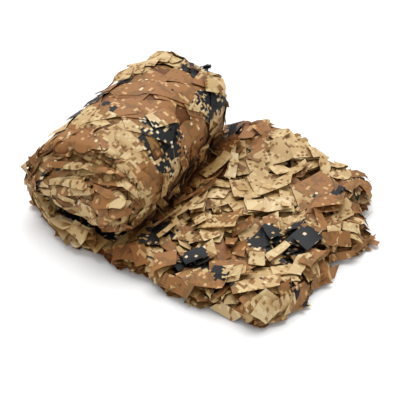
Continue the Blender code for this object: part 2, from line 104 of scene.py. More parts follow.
loose = {  # the loose end: rows are x, near edge, far edge, and the stack's height near, midway and far
    "strips": (
        (-0.210, -0.156, 0.144, 0.0148, 0.0148, 0.0148),
        (-0.145, -0.168, 0.150, 0.0148, 0.0148, 0.0148),
        (-0.075, -0.170, 0.164, 0.0148, 0.0148, 0.016),
        (-0.045, -0.160, 0.186, 0.018, 0.018, 0.030),
        (-0.005, -0.166, 0.200, 0.022, 0.028, 0.046),
        (0.050, -0.152, 0.200, 0.022, 0.030, 0.048),
        (0.090, -0.157, 0.198, 0.022, 0.027, 0.040),
        (0.130, -0.154, 0.192, 0.023, 0.027, 0.036),
        (0.165, -0.140, 0.190, 0.024, 0.028, 0.036),
        (0.205, -0.136, 0.190, 0.024, 0.028, 0.036),
        (0.252, -0.128, 0.184, 0.018, 0.018, 0.021),
    ),
    # how far the lowest layer and the top one reach, by the share of the way across
    "tips": (
        (0.00, 0.228, 0.222), (0.12, 0.250, 0.240), (0.23, 0.256, 0.244), (0.31, 0.240, 0.232),
        (0.40, 0.262, 0.250), (0.52, 0.236, 0.228), (0.64, 0.264, 0.248), (0.79, 0.270, 0.246),
        (0.83, 0.204, 0.196), (0.88, 0.208, 0.206), (0.93, 0.218, 0.224), (1.00, 0.198, 0.202),
    ),
    "stack": 0.0148,
    "reach": 0.262,
    "clearRun": 0.25,
    "surfaceWave": 0.0045,
    "edgeWave": 0.006,
    "tipWave": 0.007,
    "skirt": 0.010,  # how far out the leaves slope from the top edge down to the floor, at least
    "skirtSlope": 0.45,
    "mounds": ((0.006, 0.172, 0.032, 0.009), (0.085, 0.172, 0.030, 0.005), (0.150, 0.165, 0.040, 0.006)),
    "over": (0.014, 0.015, 0.014),  # how far leaves may reach over its near edge, its far edge and its tip
}
net = {
    "layers": 5, "layerPitch": 0.0032, "columns": 28, "straightRows": 36, "crumple": 0.0011,
    "outerStep": 0.0135,  # its rows lie closer over the outer turn, which shows, than further in
    "innerStep": 0.026,
    "foldBulge": 0.3,
}


def blend(a, b, share):
    return a + (b - a) * share


def evenly(low, high, count):
    return [blend(low, high, i / (count - 1)) for i in range(count)]


golden = 0.618  # steps of this share spread well over a stretch, however many they are


def scattered(count, low, high, shift=0.0):
    return [blend(low, high, (i * golden + shift) % 1) for i in range(count)]


def clamp(share):
    return min(1.0, max(0.0, share))


def smooth(share):  # 0 below 0, 1 above 1, a soft step between
    share = clamp(share)
    return share * share * (3 - 2 * share)


def wave(seed, u, v=0.0):  # smooth unevenness from -1 to 1
    return noise.noise(Vector((u, v, 7.31 * seed)))


def rowAt(rows, value):  # a table's row at a value of its first column, straight between the rows
    for low, high in zip(rows, rows[1:]):
        if value < high[0]:
            share = max(0.0, (value - low[0]) / (high[0] - low[0]))
            return [blend(a, b, share) for a, b in zip(low, high)]
    return rows[-1]


def squareness(y):  # the oval's power: 2 is an ellipse, and more fills out its upper corners
    low, high, power = roll["squarer"]
    return 2 + (power - 2) * smooth((y - low) / (high - low))


def ovalPoint(y, turn, inset):  # a place that deep inside the roll's oval outline
    _, centreX, halfWidth, halfHeight = rowAt(roll["sections"], y)
    angle = math.pi * (1 - 2 * turn)
    across, high = math.cos(angle), math.sin(angle)
    if high > 0:
        power = 2 / squareness(y)
        across, high = math.copysign(abs(across) ** power, across), high ** power
    return Vector((centreX + (halfWidth - inset) * across, y, halfHeight + (halfHeight - inset) * high))


def creaseDepth(turn, y):
    depth = 0.0
    for turnA, yA, turnB, yB, width, deep in roll["creases"]:
        share = clamp((turn - turnA) / (turnB - turnA))
        line = blend(yA, yB, share) + 0.006 * wave(17, turn * 14, yA * 40)
        fade = smooth((turn - turnA + 0.03) / 0.05) * smooth((turnB + 0.03 - turn) / 0.05)
        depth += deep * fade * math.exp(-(((y - line) / width) ** 2))
    return depth


def rollLump(turn, y, creases=1.0):  # how far the outer turn stands out there
    free = smooth(turn / 0.06) * smooth((0.62 - turn) / 0.10)
    lump = wave(3, turn * 9, y * 22) + 0.5 * wave(4, turn * 19, y * 45)
    return free * (roll["lump"] * lump - creases * creaseDepth(turn, y))


def dipOf(turn):  # how far the outer turn has sunk there
    low, high = roll["dip"]
    return roll["turnPitch"] * smooth((turn - low) / (high - low))


def rollSpot(turn, y):  # a place on the outer turn, where leaves lie
    return ovalPoint(y, turn, dipOf(turn) - rollLump(turn, y, 0.5))


def lipAt(x):  # how high the near end's lip is
    return roll["lipHeight"] + 0.005 * wave(14, x * 16)


def curtainY(x, z):  # the near end without its folds: it slopes out to its lip and hangs on below
    return blend(roll["lipY"], roll["faceTopY"], smooth((z - lipAt(x)) / roll["faceSlope"]))


def faceY(x, z):  # the near end inside its rim: it sags to a lip, with a hollow under it
    lip, y = lipAt(x), curtainY(x, z)
    fold = math.sin(z / roll["pleat"] * math.tau + 2.6 * wave(13, x * 15, z * 12))
    y -= roll["pleatDepth"] * fold * smooth((z - lip) / 0.010)
    left, right = roll["hollow"]
    inside = smooth((x - left) / 0.030) * smooth((right - x) / 0.030)
    return y + roll["hollowDepth"] * smooth((lip - z) / 0.010) * inside


def nearEndY(turn, depth):  # where the roll's near end is, that deep inside its outer turn
    place = ovalPoint(roll["faceAt"], turn, depth)
    rim = rowAt(roll["nearRim"], turn)[1]
    return blend(rim, faceY(place.x, place.z), smooth(depth / roll["rimRounding"]))


def farEndY(turn, depth):
    height = ovalPoint(roll["farAt"], turn, depth).z / (2 * rowAt(roll["sections"], roll["farAt"])[3])
    return blend(roll["farFootY"], roll["farTopY"], smooth(height)) + 0.004 * wave(12, turn * 9, depth * 90)


def stackHeight(strip, across):
    if across < 0.5:
        return blend(strip[3], strip[4], smooth(2 * across))
    return blend(strip[4], strip[5], smooth(2 * across - 1))


def stackTop(x, across, y, run):  # the height of the loose end's top layer
    swell = wave(31, x * 17, y * 17) + 0.5 * wave(32, x * 41, y * 41)
    height = stackHeight(rowAt(loose["strips"], x), across)
    return max(loose["stack"], height + loose["surfaceWave"] * swell * smooth(run / loose["clearRun"]))


endInset = 0.004  # how far inside the near end its first leaves lie
startX = ovalPoint(0.0, 0.75, 0.0).x  # where the strip is straight from, under the roll


def netPoint(run, turn, across, layer):
    # A point of the folded net: run is the share of the straight part from the roll to the tip, and turn
    # counts on from 0.75, under the roll, round and round inwards.
    if turn > 1.0:
        share, ply = turn % 1.0, 0.0005 + layer * net["layerPitch"]
        deep = roll["turnPitch"] * (int(turn) - 1) + dipOf(share) + ply
        ridge = roll["endRidge"] * wave(11, turn * 3.1, layer * 0.6)
        nearY = nearEndY(share, max(0.0, deep - dipOf(share)) * (turn > 1.02)) + ridge
        y = blend(nearY, farEndY(share, deep) + ridge, across)
        lump = rollLump(share, y) * max(0.0, 1 - deep / 0.032)
        crease = net["crumple"] * wave(5, share * 60, y * 110) if turn < 2 else 0.0
        return ovalPoint(y, share, deep - lump - crease)
    x = blend(startX, loose["reach"], run)
    if turn > 0.75:
        x = ovalPoint(0.0, turn, 0.0).x
    strip, free = rowAt(loose["strips"], x), smooth(run / loose["clearRun"])
    fold = (layer + 1) // 2 if across < 0.5 else layer // 2
    drift = loose["edgeWave"] * wave(21 + fold, x * 38, across) * blend(0.35, 1.0, free)
    y = blend(strip[1], strip[2], across) + drift * abs(2 * across - 1)
    height = stackTop(x, across, y, run) - 0.001
    crumple = net["crumple"] * wave(5, x * 100, y * 110) * free * layer / (net["layers"] - 1)
    lift = 0.0006 + layer * height / (net["layers"] - 1) + crumple
    if turn > 0.75:
        return ovalPoint(y, turn, lift)
    tip = rowAt(loose["tips"], across)
    reach = blend(tip[1], tip[2], smooth(1.4 * layer / (net["layers"] - 1) - 0.3))
    reach += loose["tipWave"] * wave(41 + layer, across * 7)
    return Vector((blend(ovalPoint(y, 0.75, 0.0).x, reach, run), y, lift))


brightest = 1.3  # what the first channel of the cloth's tone and painted shade stands for at 1
# Where a place of the net is on the flat cloth: u along the strip from its tip, v across the 1.5 m width.
# The outer turn's middle and the loose end's are at the last two.
cloth = {"straight": 0.368, "turnLength": 0.575, "foldWidth": 0.30, "rollMiddle": 0.15, "looseMiddle": 1.35}


def alongTurn(turn):
    return cloth["straight"] + cloth["turnLength"] * (turn - 0.75)


def netRows():  # the stations of the net from its tip to the middle of the roll
    rows = [(1 - i / net["straightRows"], 0.75) for i in range(net["straightRows"] + 1)]
    turn = 0.75
    while turn < 1 + roll["turns"]:
        turn += net["outerStep"] if turn < 1.62 else net["innerStep"]
        rows.append((0.0, min(turn, 1.0 + roll["turns"])))
    return rows


def gridQuads(rows, columns, first=0, turnedOver=False):  # faces between the places of a grid
    quads = []
    for i in range(rows - 1):
        for j in range(columns - 1):
            a = first + i * columns + j
            rest = (a + 1, a + columns + 1, a + columns)
            quads.append((a, *(reversed(rest) if turnedOver else rest)))
    return quads


def addPiece(name, points, quads, flat=None, tones=None):
    # flat holds each point's place on the flat cloth. tones holds its light, and how far it leans to brown
    # and to black.
    mesh = bpy.data.meshes.new(name)
    mesh.from_pydata([tuple(point) for point in points], [], quads)
    if flat:
        corner = np.zeros(len(mesh.loops), np.int32)
        mesh.loops.foreach_get("vertex_index", corner)
        layer = mesh.uv_layers.new(name="flatCloth")
        layer.data.foreach_set("uv", np.array(flat, np.float32)[corner].ravel())
        tone = mesh.attributes.new("toneAndShade", "FLOAT_COLOR", "POINT")
        tone.data.foreach_set("color", np.array(tones, np.float32).ravel())
    mesh.shade_smooth()
    piece = bpy.data.objects.new(name, mesh)
    bpy.context.scene.collection.objects.link(piece)
    return piece


def buildNetCloth():
    rows, columns, layers = netRows(), net["columns"], net["layers"]
    points, flat, tones = [], [], []
    for run, turn in rows:
        along = cloth["straight"] * (1 - run) if turn <= 0.75 else alongTurn(turn)
        for layer in range(layers):
            # Even layers run from the near edge to the far one, and odd ones back.
            steps = [i / columns for i in range(columns + 1)]
            for step in steps if layer % 2 == 0 else reversed(steps):
                points.append(netPoint(run, turn, step, layer))
                across = layer + (step if layer % 2 == 0 else 1 - step)
                flat.append((along, cloth["foldWidth"] * across))
    width = layers * (columns + 1)
    for i in range(len(rows)):  # a fold bulges out between two layers
        for layer in range(layers - 1):
            a = i * width + (layer + 1) * (columns + 1) - 1
            outward = -1 if layer % 2 else 1
            gap = (points[a] - points[a + 1]).length
            for k in (a, a + 1):
                points[k] = points[k] + Vector((0, outward * net["foldBulge"] * gap, 0))
    low, high = roll["hollow"][0] + 0.035, roll["hollow"][1] - 0.018
    for place in points:  # painted shade: the print is made black in the hollow of the near end, where deep shade falls
        inside = low < place.x < high and -0.150 < place.y < -0.070 and place.z < roll["lipHeight"] + 0.006
        tones.append((1 / brightest, 0.5, 0.75 if inside else 0.5, 1.0))
    return addPiece("netCloth", points, gridQuads(len(rows), width), flat, tones)


def turnAt(place):  # the share of a turn and the depth inside the oval at a place
    _, centreX, halfWidth, halfHeight = rowAt(roll["sections"], place.y)
    across, high = (place.x - centreX) / halfWidth, (place.z - halfHeight) / halfHeight
    if high > 0:
        power = squareness(place.y) / 2
        across, high = math.copysign(abs(across) ** power, across), high ** power
        return (1 - math.atan2(high, across) / math.pi) / 2, math.hypot(across, high) ** (1 / power)
    return (1 - math.atan2(high, across) / math.pi) / 2, math.hypot(across, high)


# The skins that leaves lie on. Each is a fine mesh that is only searched, and never shown.
def searchTree(*grids):
    points, faces = [], []
    for rows in grids:
        faces += gridQuads(len(rows), len(rows[0]), len(points), True)
        points += [place for row in rows for place in row]
    return BVHTree.FromPolygons(points, faces)


def rollSkin():
    depths = (0.064, 0.058, 0.052, 0.046, 0.040, 0.034, 0.029, 0.024,
              0.020, 0.016, 0.013, 0.010, 0.0075, 0.005, 0.003, 0.0012)
    wrap, cap = [], []
    for i in range(97):  # round from under the roll to the crease, and in over both its rims
        turn = i / 96 * 0.87 - 0.25
        if turn < 0:
            near = rowAt(loose["strips"], ovalPoint(0.0, 1 + turn, 0.0).x)[1]
            edge = (0.014, 0.010, 0.006, 0.003, 0.001)
            row = [ovalPoint(near, turn, depth) for depth in edge]
        else:
            near = nearEndY(turn, 0.0)
            edge = (0.005, 0.005, 0.005, 0.005, 0.002)
            row = [ovalPoint(near + endInset, turn, depth + dipOf(turn)) for depth in edge]
        row += [rollSpot(turn, y) for y in evenly(near, farEndY(max(0.0, turn), 0.0), 61)]
        for depth in reversed(depths):
            row.append(ovalPoint(farEndY(max(0.0, turn), depth) + 0.001, turn, depth + dipOf(turn)))
        wrap.append(row)
    middle = ovalPoint(roll["faceAt"], 0.25, depths[0])
    for turn in [i / 120 for i in range(121)]:  # the near end, from its middle out to the rim
        dip = dipOf(turn) if turn < 0.62 else 0.013
        row = [Vector((middle.x, faceY(middle.x, middle.z) + endInset, middle.z))]
        for depth in depths + (0.0,):
            row.append(ovalPoint(nearEndY(turn, depth) + endInset, turn, depth + dip))
        cap.append(row)
    return searchTree(wrap, cap)


def endY(x, z):  # the near end as a curtain that hangs on past its lip
    turn, share = turnAt(Vector((x, roll["faceAt"], z)))
    face = curtainY(x, z)
    rim = rowAt(roll["nearRim"], turn)[1] if z > lipAt(x) else face
    return blend(rim, face, smooth((1 - share) * roll["radius"] / roll["rimRounding"])) + endInset


def endSpot(x, z):
    return Vector((x, endY(x, z), z))


def endSkin():
    return searchTree([[endSpot(x, z) for z in evenly(0.030, 0.160, 40)] for x in evenly(-0.215, 0.025, 60)])


def mound(x, y):  # how far the leaves' bed is bunched up over the folded layers
    return sum(high * math.exp(-(((x - a) / wide) ** 2 + ((y - b) / wide) ** 2))
               for a, b, wide, high in loose["mounds"])


def acrossAt(strip, y):  # the share of the way across a row of the loose end
    return (y - strip[1]) / (strip[2] - strip[1])


def runAt(x):  # the share of the way from under the roll to the tip
    return max(0.0, (x - startX) / (loose["reach"] - startX))


def outBy(x, y, strip, across):  # how far outside the loose end's outline
    return math.hypot(max(0.0, x - rowAt(loose["tips"], across)[2]), max(strip[1] - y, y - strip[2], 0.0))


def looseSurface(x, y):  # the loose end with its edges sloping down to the floor
    strip = rowAt(loose["strips"], x)
    across = clamp(acrossAt(strip, y))
    if x < startX:
        turn = 0.75 + math.asin(min(1.0, (startX - x) / roll["footRadius"])) / math.tau
        base, top = ovalPoint(y, turn, 0.0).z, ovalPoint(y, turn, loose["stack"]).z
    else:
        base, top = 0.0, stackTop(x, across, y, runAt(x)) + mound(x, y)
    out = outBy(x, y, strip, across)
    skirt = max(loose["skirt"], loose["skirtSlope"] * top)
    return 0.0004 + max(top * (1 - smooth(out / skirt)), base * (out < 0.001))


def looseSpot(x, y):
    return Vector((x, y, looseSurface(x, y)))


def looseSkin():
    columns = evenly(-0.212, 0.244, 115)
    return searchTree([[looseSpot(x, y) for y in columns] for x in evenly(-0.212, 0.312, 131)])


def levelSkin(level):  # a sheet between two layers of the loose end, that droops beyond its edges
    rows = []
    for x in evenly(-0.212, 0.300, 91):
        strip, row = rowAt(loose["strips"], x), []
        for y in evenly(-0.200, 0.236, 81):
            across = clamp(acrossAt(strip, y))
            height = level * stackTop(x, across, y, runAt(x))
            row.append(Vector((x, y, max(0.0012, height - 0.4 * outBy(x, y, strip, across)))))
        rows.append(row)
    return searchTree(rows)


print("skins")
rollTree, looseTree, endTree = rollSkin(), looseSkin(), endSkin()


def cornerInset(x):  # the near edge's leaves draw in towards its corner under the roll
    return 0.016 * smooth((-0.120 - x) / 0.060)


def overEdge(place, beyond):  # too far out from the loose end
    strip, over = rowAt(loose["strips"], place.x), loose["over"]
    low, high = strip[1] - over[0] - beyond + cornerInset(place.x), strip[2] + over[1] + beyond
    tip = max(rowAt(loose["tips"], clamp(acrossAt(strip, place.y)))[1:])
    return not low < place.y < high or place.x > tip + over[2] + beyond


def insideRoll(place, margin):
    near, far = rowAt(roll["nearRim"], 0.5)[1] - 0.03, roll["farFootY"] + 0.004
    return near < place.y < far and turnAt(place)[1] < 1 + margin / roll["radius"]


def roundWay(y, turn):  # the way on round the roll
    return (ovalPoint(y, turn + 0.01, 0.0) - ovalPoint(y, turn - 0.01, 0.0)).normalized()


def rollFlat(place):  # where it is on the flat cloth, and which way u and v run there
    turn, share = turnAt(place)
    turn = turn - 1 if turn > 0.8 else turn
    rim = rowAt(roll["nearRim"], max(0.0, turn))[1]
    if place.y < rim + 0.004 and share < 0.97:  # round the rim and down the near end
        outward = (ovalPoint(place.y, turn, 0.0) - ovalPoint(place.y, turn, 0.02)).normalized()
        across = cloth["rollMiddle"] + rim - roll["radius"] * (1 - share)
        return (alongTurn(turn + 1), across), roundWay(place.y, turn), outward
    return (alongTurn(turn + 1), cloth["rollMiddle"] + place.y), roundWay(place.y, turn), yWay


def looseFlat(place):
    return (loose["reach"] - place.x, cloth["looseMiddle"] + place.y), -xWay, yWay


skins = {"roll": (rollTree, rollFlat), "loose": (looseTree, looseFlat), "end": (endTree, rollFlat)}

leafCut = {  # outlines of a cut leaf: how wide it is along its length, as shares
    "strip": ((0, 1.0), (1, 1.0)),
    "taper": ((0, 1.0), (1, 0.55)),
    "widen": ((0, 0.62), (1, 1.0)),
    "house": ((0, 0.92), (0.70, 1.0), (1, 0.05)),
    "point": ((0, 0.80), (0.42, 1.0), (1, 0.05)),
    "lens": ((0, 0.08), (0.30, 0.80), (0.58, 1.0), (1, 0.05)),
    "notch": ((0, 0.9), (0.55, 1.0), (0.60, 0.55), (1, 0.50)),
}
leafRows, leafColumns = 6, 4

# The leaves laid so far, by where they lie. Those of the near end and of the roll share one pile.
piles = {"roll": [], "loose": []}
piles["end"] = piles["roll"]
levels = {"layer%g" % level: level for level in (0.10, 0.32, 0.54, 0.76)}  # as shares of the stack's height
stackMean = 0.02  # about how high the stack is
for name, level in levels.items():
    skins[name], piles[name] = (levelSkin(level), looseFlat), []
groups = {name: [] for name in ("rollLeaves", "rollEndLeaves", "looseLeaves", "looseEdgeLeaves")}


def nearby(where, centre, radius):
    return [leaf for leaf in piles[where] if (leaf["centre"] - centre).length < radius + leaf["radius"]]


def walk(tree, place, way, length, step=0.006):  # straight ahead over a skin
    steps = max(1, round(abs(length) / step))
    way = way * (1 if length >= 0 else -1)
    trail = [(place, way)]
    for _ in range(steps):
        spot, _, _, _ = tree.find_nearest(place + way * abs(length) / steps)
        gone = spot - place
        if gone.length > 1e-6:
            way = gone.normalized()
        place = spot
        trail.append((place, way))
    return trail


def settle(places, normals, needed, stiffness):
    # Where a sheet comes to lie over what it has to clear: 1 is a flat plate and 0 drapes over everything.
    # A plate isn't moved out all the way, so it may cut into what is under it.
    rows, columns = needed.shape
    u, v = np.meshgrid(np.linspace(-1, 1, rows), np.linspace(-1, 1, columns), indexing="ij")
    terms = np.stack([np.ones_like(u), u, v], -1).reshape(-1, 3)
    support = (places + normals * needed[..., None]).reshape(-1, 3)
    plate = terms @ np.linalg.lstsq(terms, support, rcond=None)[0]
    outward = normals.mean((0, 1))
    outward /= np.linalg.norm(outward)
    plate += outward * 0.85 * ((support - plate) @ outward).max()
    soft = needed.copy()
    for _ in range(5):
        wide = np.pad(soft, 1, mode="edge")
        beside = wide[:-2, 1:-1] + wide[2:, 1:-1] + wide[1:-1, :-2] + wide[1:-1, 2:]
        soft = np.maximum(needed, (beside + 2 * soft) / 6)
    draped = places + normals * soft[..., None]
    return stiffness * plate.reshape(rows, columns, 3) + (1 - stiffness) * draped


def drapeLeaf(tree, root, normal, heading, leaf):
    # A grid of places where the leaf would lie on a skin, with their normals, their places on the leaf
    # itself and how far its curl lifts them.
    length, half = leaf["length"], leaf["width"] / 2
    trail = walk(tree, root, heading, length * 1.25)  # a slanted tip reaches on past its length
    step = length * 1.25 / (len(trail) - 1)
    ahead = sorted({round(i / leafRows, 3) for i in range(leafRows + 1)} | {k for k, _ in leaf["cut"]})
    rows, columns = len(ahead), leafColumns + 1
    places, local, rise = (np.zeros((rows, columns, 3)), np.zeros((rows, columns, 2)),
                           np.zeros((rows, columns)))
    bendAt, bend = 0.45 * length, leaf["curl"]  # where it curls up from, and how far round
    for i, share in enumerate(ahead):
        wide = half * rowAt(leaf["cut"], share)[1]
        for j in range(columns):
            across = wide * (2 * j / leafColumns - 1)
            along = length * share + across * blend(leaf["skewRoot"], leaf["skewTip"], share)
            local[i, j] = along, across
            if bend and along > bendAt:
                radius = (length - bendAt) / bend
                turned = (along - bendAt) / radius
                rise[i, j] = radius * (1 - math.cos(turned))
                along = bendAt + radius * math.sin(turned)
            k = min(len(trail) - 2, max(0, int(along / step)))
            spot = trail[k][0] + (trail[k + 1][0] - trail[k][0]) * (along / step - k)
            way = trail[k + 1][1]
            spot, face, _, _ = tree.find_nearest(spot)
            aside = face.cross(way).normalized()
            places[i, j] = walk(tree, spot, aside, across, 0.010)[-1][0] if abs(across) > 1e-4 else spot
    normals = np.cross(np.gradient(places, axis=0), np.gradient(places, axis=1))
    size = np.linalg.norm(normals, axis=2, keepdims=True)
    if (size < 1e-9).any():
        return None
    normals /= size
    if normals[0, columns // 2] @ np.array(normal) < 0:
        normals = -normals
    return places, normals, local, rise


leafGap = 0.0005  # aimed at between one leaf and the next, though many still cut into others


def heightsOver(leaves, places, normals, clear):  # how far each place has to rise to clear those leaves
    needed = np.full(places.shape[:2], clear)
    reach = 0.020
    for i, j in np.ndindex(needed.shape):
        start, down = Vector(places[i, j] + normals[i, j] * reach), -Vector(normals[i, j])
        for other in leaves:
            if (other["centre"] - start).length > other["radius"] + reach:
                continue
            hit = other["tree"].ray_cast(start, down, reach)
            if hit[0] is not None:
                needed[i, j] = max(needed[i, j], reach - hit[3] + leafGap)
    return needed


spare = (0.018, 0.016, 0.012)  # how far leaves may stand out from the part's box


def fits(where, points, beyond):  # its corners don't lie too far out, or inside the part beside it
    low, high = np.min(points, 0), np.max(points, 0)
    for axis in range(3):
        if low[axis] < cadLow[axis] - spare[axis] * (axis < 2) or high[axis] > cadHigh[axis] + spare[axis]:
            return False
    if where == "end":  # within a tenth of the roll's outline
        return not any(turnAt(p)[1] > 1.10 for p in points)
    if where == "roll":  # clear of the loose end
        return not any(p.x > -0.10 and p.y < 0.2 and p.z < looseSurface(p.x, p.y) + 0.003 for p in points)
    return not any(overEdge(p, beyond) or insideRoll(p, 0.001) for p in points)


def layLeaf(where, group, anchor, heading, leaf, limit=0.012, others=(), stand=0.014, beyond=0.0):
    # Lays one leaf from its root at anchor along heading. leaf holds its sizes, its cut, how it lifts,
    # folds, twists and curls, its tone and its print's place. Returns it, or None where it doesn't fit.
    tree, flatAt = skins[where]
    root, normal, _, _ = tree.find_nearest(anchor)
    heading = (heading - normal * heading.dot(normal)).normalized()
    draped = drapeLeaf(tree, root, normal, heading, leaf)
    if draped is None:
        return None
    places, normals, local, rise = draped
    rows, columns = rise.shape
    centre = Vector(places.mean((0, 1)))
    radius = float(np.linalg.norm(places - np.array(centre), axis=2).max())
    needed = heightsOver(nearby(where, centre, radius + 0.006), places, normals, leaf["clear"])
    if needed.mean() > limit:
        return None
    half = leaf["width"] / 2
    u, v = local[..., 0] / leaf["length"], local[..., 1] / half
    lift = leaf["lift"] * np.clip(u, 0, 1) ** 2
    fold = leaf["fold"] * half * (np.abs(v) if leaf["fold"] > 0 else np.abs(v) - 1)
    twist = abs(leaf["twist"]) * half * np.clip(u, 0, 1) * (1 + np.sign(leaf["twist"]) * v) / 2
    hem = leaf["hem"] * ((1 - v) / 2) ** 2
    points = settle(places, normals, needed, leaf["stiff"])
    points = points + normals * (lift + fold + twist + rise + hem)[..., None]
    points[..., 2] = np.maximum(points[..., 2], 0.0006)
    if ((points - places) * normals).sum(2).max() > stand:
        return None
    corners = [Vector(p) for p in points.reshape(-1, 3)]
    if not fits(where, corners, beyond):
        return None
    quads = gridQuads(rows, columns)
    made = {"tree": BVHTree.FromPolygons(corners, quads), "centre": centre, "radius": radius + 0.01}
    for other in others:
        if any(made["tree"].overlap(there["tree"]) for there in nearby(other, centre, radius)):
            return None
    flat, wayU, wayV = flatAt(root)
    sideWay = normal.cross(heading)
    turned = leaf["printTurn"]
    axes = np.array(((heading.dot(wayU), heading.dot(wayV)), (sideWay.dot(wayU), sideWay.dot(wayV))))
    axes = axes @ np.array(((math.cos(turned), math.sin(turned)), (-math.sin(turned), math.cos(turned))))
    made["flat"] = (local @ axes + np.array(flat) + np.array(leaf["printShift"])).reshape(-1, 2)
    facing = (corners[1] - corners[0]).cross(corners[columns] - corners[0])
    made["quads"] = [tuple(reversed(quad)) for quad in quads] if facing.dot(normal) < 0 else quads
    made["points"], made["tone"] = corners, leaf["tone"]
    piles[where].append(made)
    groups[group].append(made)
    return made


def drawLeaf(draw, bed):  # one leaf within its bed's limits
    def between(name):
        return draw.uniform(*bed[name])

    cut = leafCut[draw.choices(list(leafCut), bed["cuts"])[0]]
    chance = draw.random()
    brown, black = 0.5, 0.5
    if chance < bed["plain"]:
        brown, black = draw.uniform(0.15, 0.40), 0.25
    elif chance < bed["plain"] + bed["brown"]:
        brown, black = draw.uniform(0.56, 0.70), 0.42
    elif chance < bed["plain"] + bed["brown"] + bed["black"]:
        black = draw.uniform(0.60, 0.68)
    tone = bed["bright"] + draw.uniform(-1, 1) * bed["tone"]
    return {
        "length": between("length"), "width": between("width"), "cut": cut,
        "skewRoot": draw.uniform(-0.6, 0.6) * bed["slant"], "skewTip": draw.uniform(-1, 1) * bed["slant"],
        "lift": between("lift"), "fold": draw.uniform(-1, 1) * bed["fold"],
        "twist": draw.uniform(-1, 1) * bed["fold"],
        "curl": bed["curlFrom"] + draw.random() ** 3 * bed["curl"],
        "stiff": between("stiff"), "clear": bed["clear"], "hem": draw.random() ** 2 * bed["hem"],
        "tone": (tone, brown, black),
        "printShift": (draw.uniform(-1, 1) * bed["stray"], draw.uniform(-1, 1) * bed["stray"]),
        "printTurn": draw.uniform(-1, 1) * bed["printTurn"],
    }


# What the leaves of a bed are like. Lengths are in metres: a leaf's size, how far its tip lifts and its side
# stands up, how clear it lies of what is under it, how far it may stand up and how far its print strays.
# fold, slant and curl are shares, cuts and the three colours are chances, and bright is its light.
looseBed = {
    "length": (0.024, 0.066), "width": (0.012, 0.036), "lift": (-0.001, 0.005), "hem": 0.005,
    "clear": 0.0009, "stand": 0.018, "stray": 0.006, "printTurn": 0.20, "stiff": (0.15, 0.75),
    "fold": 0.16, "slant": 1.1, "curlFrom": 0.0, "curl": 0.5, "cuts": (3, 6, 3, 3, 5, 3, 3),
    "bright": 0.42, "tone": 0.26, "plain": 0.24, "brown": 0.20, "black": 0.02,
}
sheetBed = dict(looseBed, length=(0.056, 0.090), width=(0.034, 0.056), lift=(0.0, 0.003), tone=0.12,
                stray=0.003, printTurn=0.03, plain=0.05, brown=0.05, black=0.0, curl=0.1, stiff=(0.5, 0.9),
                fold=0.03)
rollBed = {
    "length": (0.060, 0.110), "width": (0.034, 0.066), "lift": (0.000, 0.0010), "hem": 0.0006,
    "clear": 0.0005, "stand": 0.008, "stray": 0.001, "printTurn": 0.0, "stiff": (0.02, 0.16),
    "fold": 0.01, "slant": 0.9, "curlFrom": 0.0, "curl": 0.0, "cuts": (4, 4, 4, 2, 2, 1, 2),
    "bright": 0.50, "tone": 0.06, "plain": 0.0, "brown": 0.0, "black": 0.0,
}
curlBed = dict(looseBed, length=(0.036, 0.062), width=(0.009, 0.018), curlFrom=0.9, curl=1.4, brown=0.35,
               lift=(0.0, 0.004), stiff=(0.3, 0.8), cuts=(1, 3, 1, 1, 4, 5, 0), stand=0.026)
edgeBed = dict(looseBed, length=(0.026, 0.044), width=(0.018, 0.034), lift=(0.0, 0.004), fold=0.08,
               stiff=(0.1, 0.6), cuts=(3, 3, 2, 4, 4, 1, 1), brown=0.44, stray=0.020)
tipBed = dict(edgeBed, stiff=(0.3, 0.8))
flankBed = dict(edgeBed, length=(0.018, 0.038), width=(0.010, 0.026), lift=(0.001, 0.007), hem=0.003,
                fold=0.2, stiff=(0.1, 0.7), cuts=(2, 3, 2, 3, 4, 2, 2), brown=0.28, black=0.08, plain=0.26,
                stand=0.016)
layerBed = dict(edgeBed, length=(0.020, 0.038), width=(0.016, 0.042), lift=(-0.002, 0.002), hem=0.002,
                stiff=(0.0, 0.3), cuts=(3, 3, 3, 4, 3, 0, 2), brown=0.50, plain=0.10)
endBed = dict(looseBed, length=(0.030, 0.075), width=(0.009, 0.020), lift=(0.0, 0.003), fold=0.25, curl=0.0,
              stiff=(0.05, 0.3), tone=0.20, stray=0.004, printTurn=0.06, plain=0.10, brown=0.26,
              cuts=(1, 3, 2, 2, 5, 6, 1))
rimBed = dict(rollBed, length=(0.034, 0.052), width=(0.024, 0.040), lift=(0.000, 0.002), curl=0.2,
              fold=0.04, tone=0.12, cuts=(2, 3, 3, 4, 4, 1, 1), stiff=(0.0, 0.2))

kinds = {  # how light a placed leaf is, and how far it leans to brown and to black
    "print": (0.46, 0.50, 0.50), "straw": (0.66, 0.08, 0.12), "sand": (0.48, 0.34, 0.24),
    "pale": (1.00, 0.04, 0.10), "brown": (0.50, 0.64, 0.34), "dark": (0.00, 0.70, 0.38),
    "black": (0.55, 0.50, 0.67), "light": (0.85, 0.30, 0.30), "ink": (0.60, 0.30, 0.62),
}
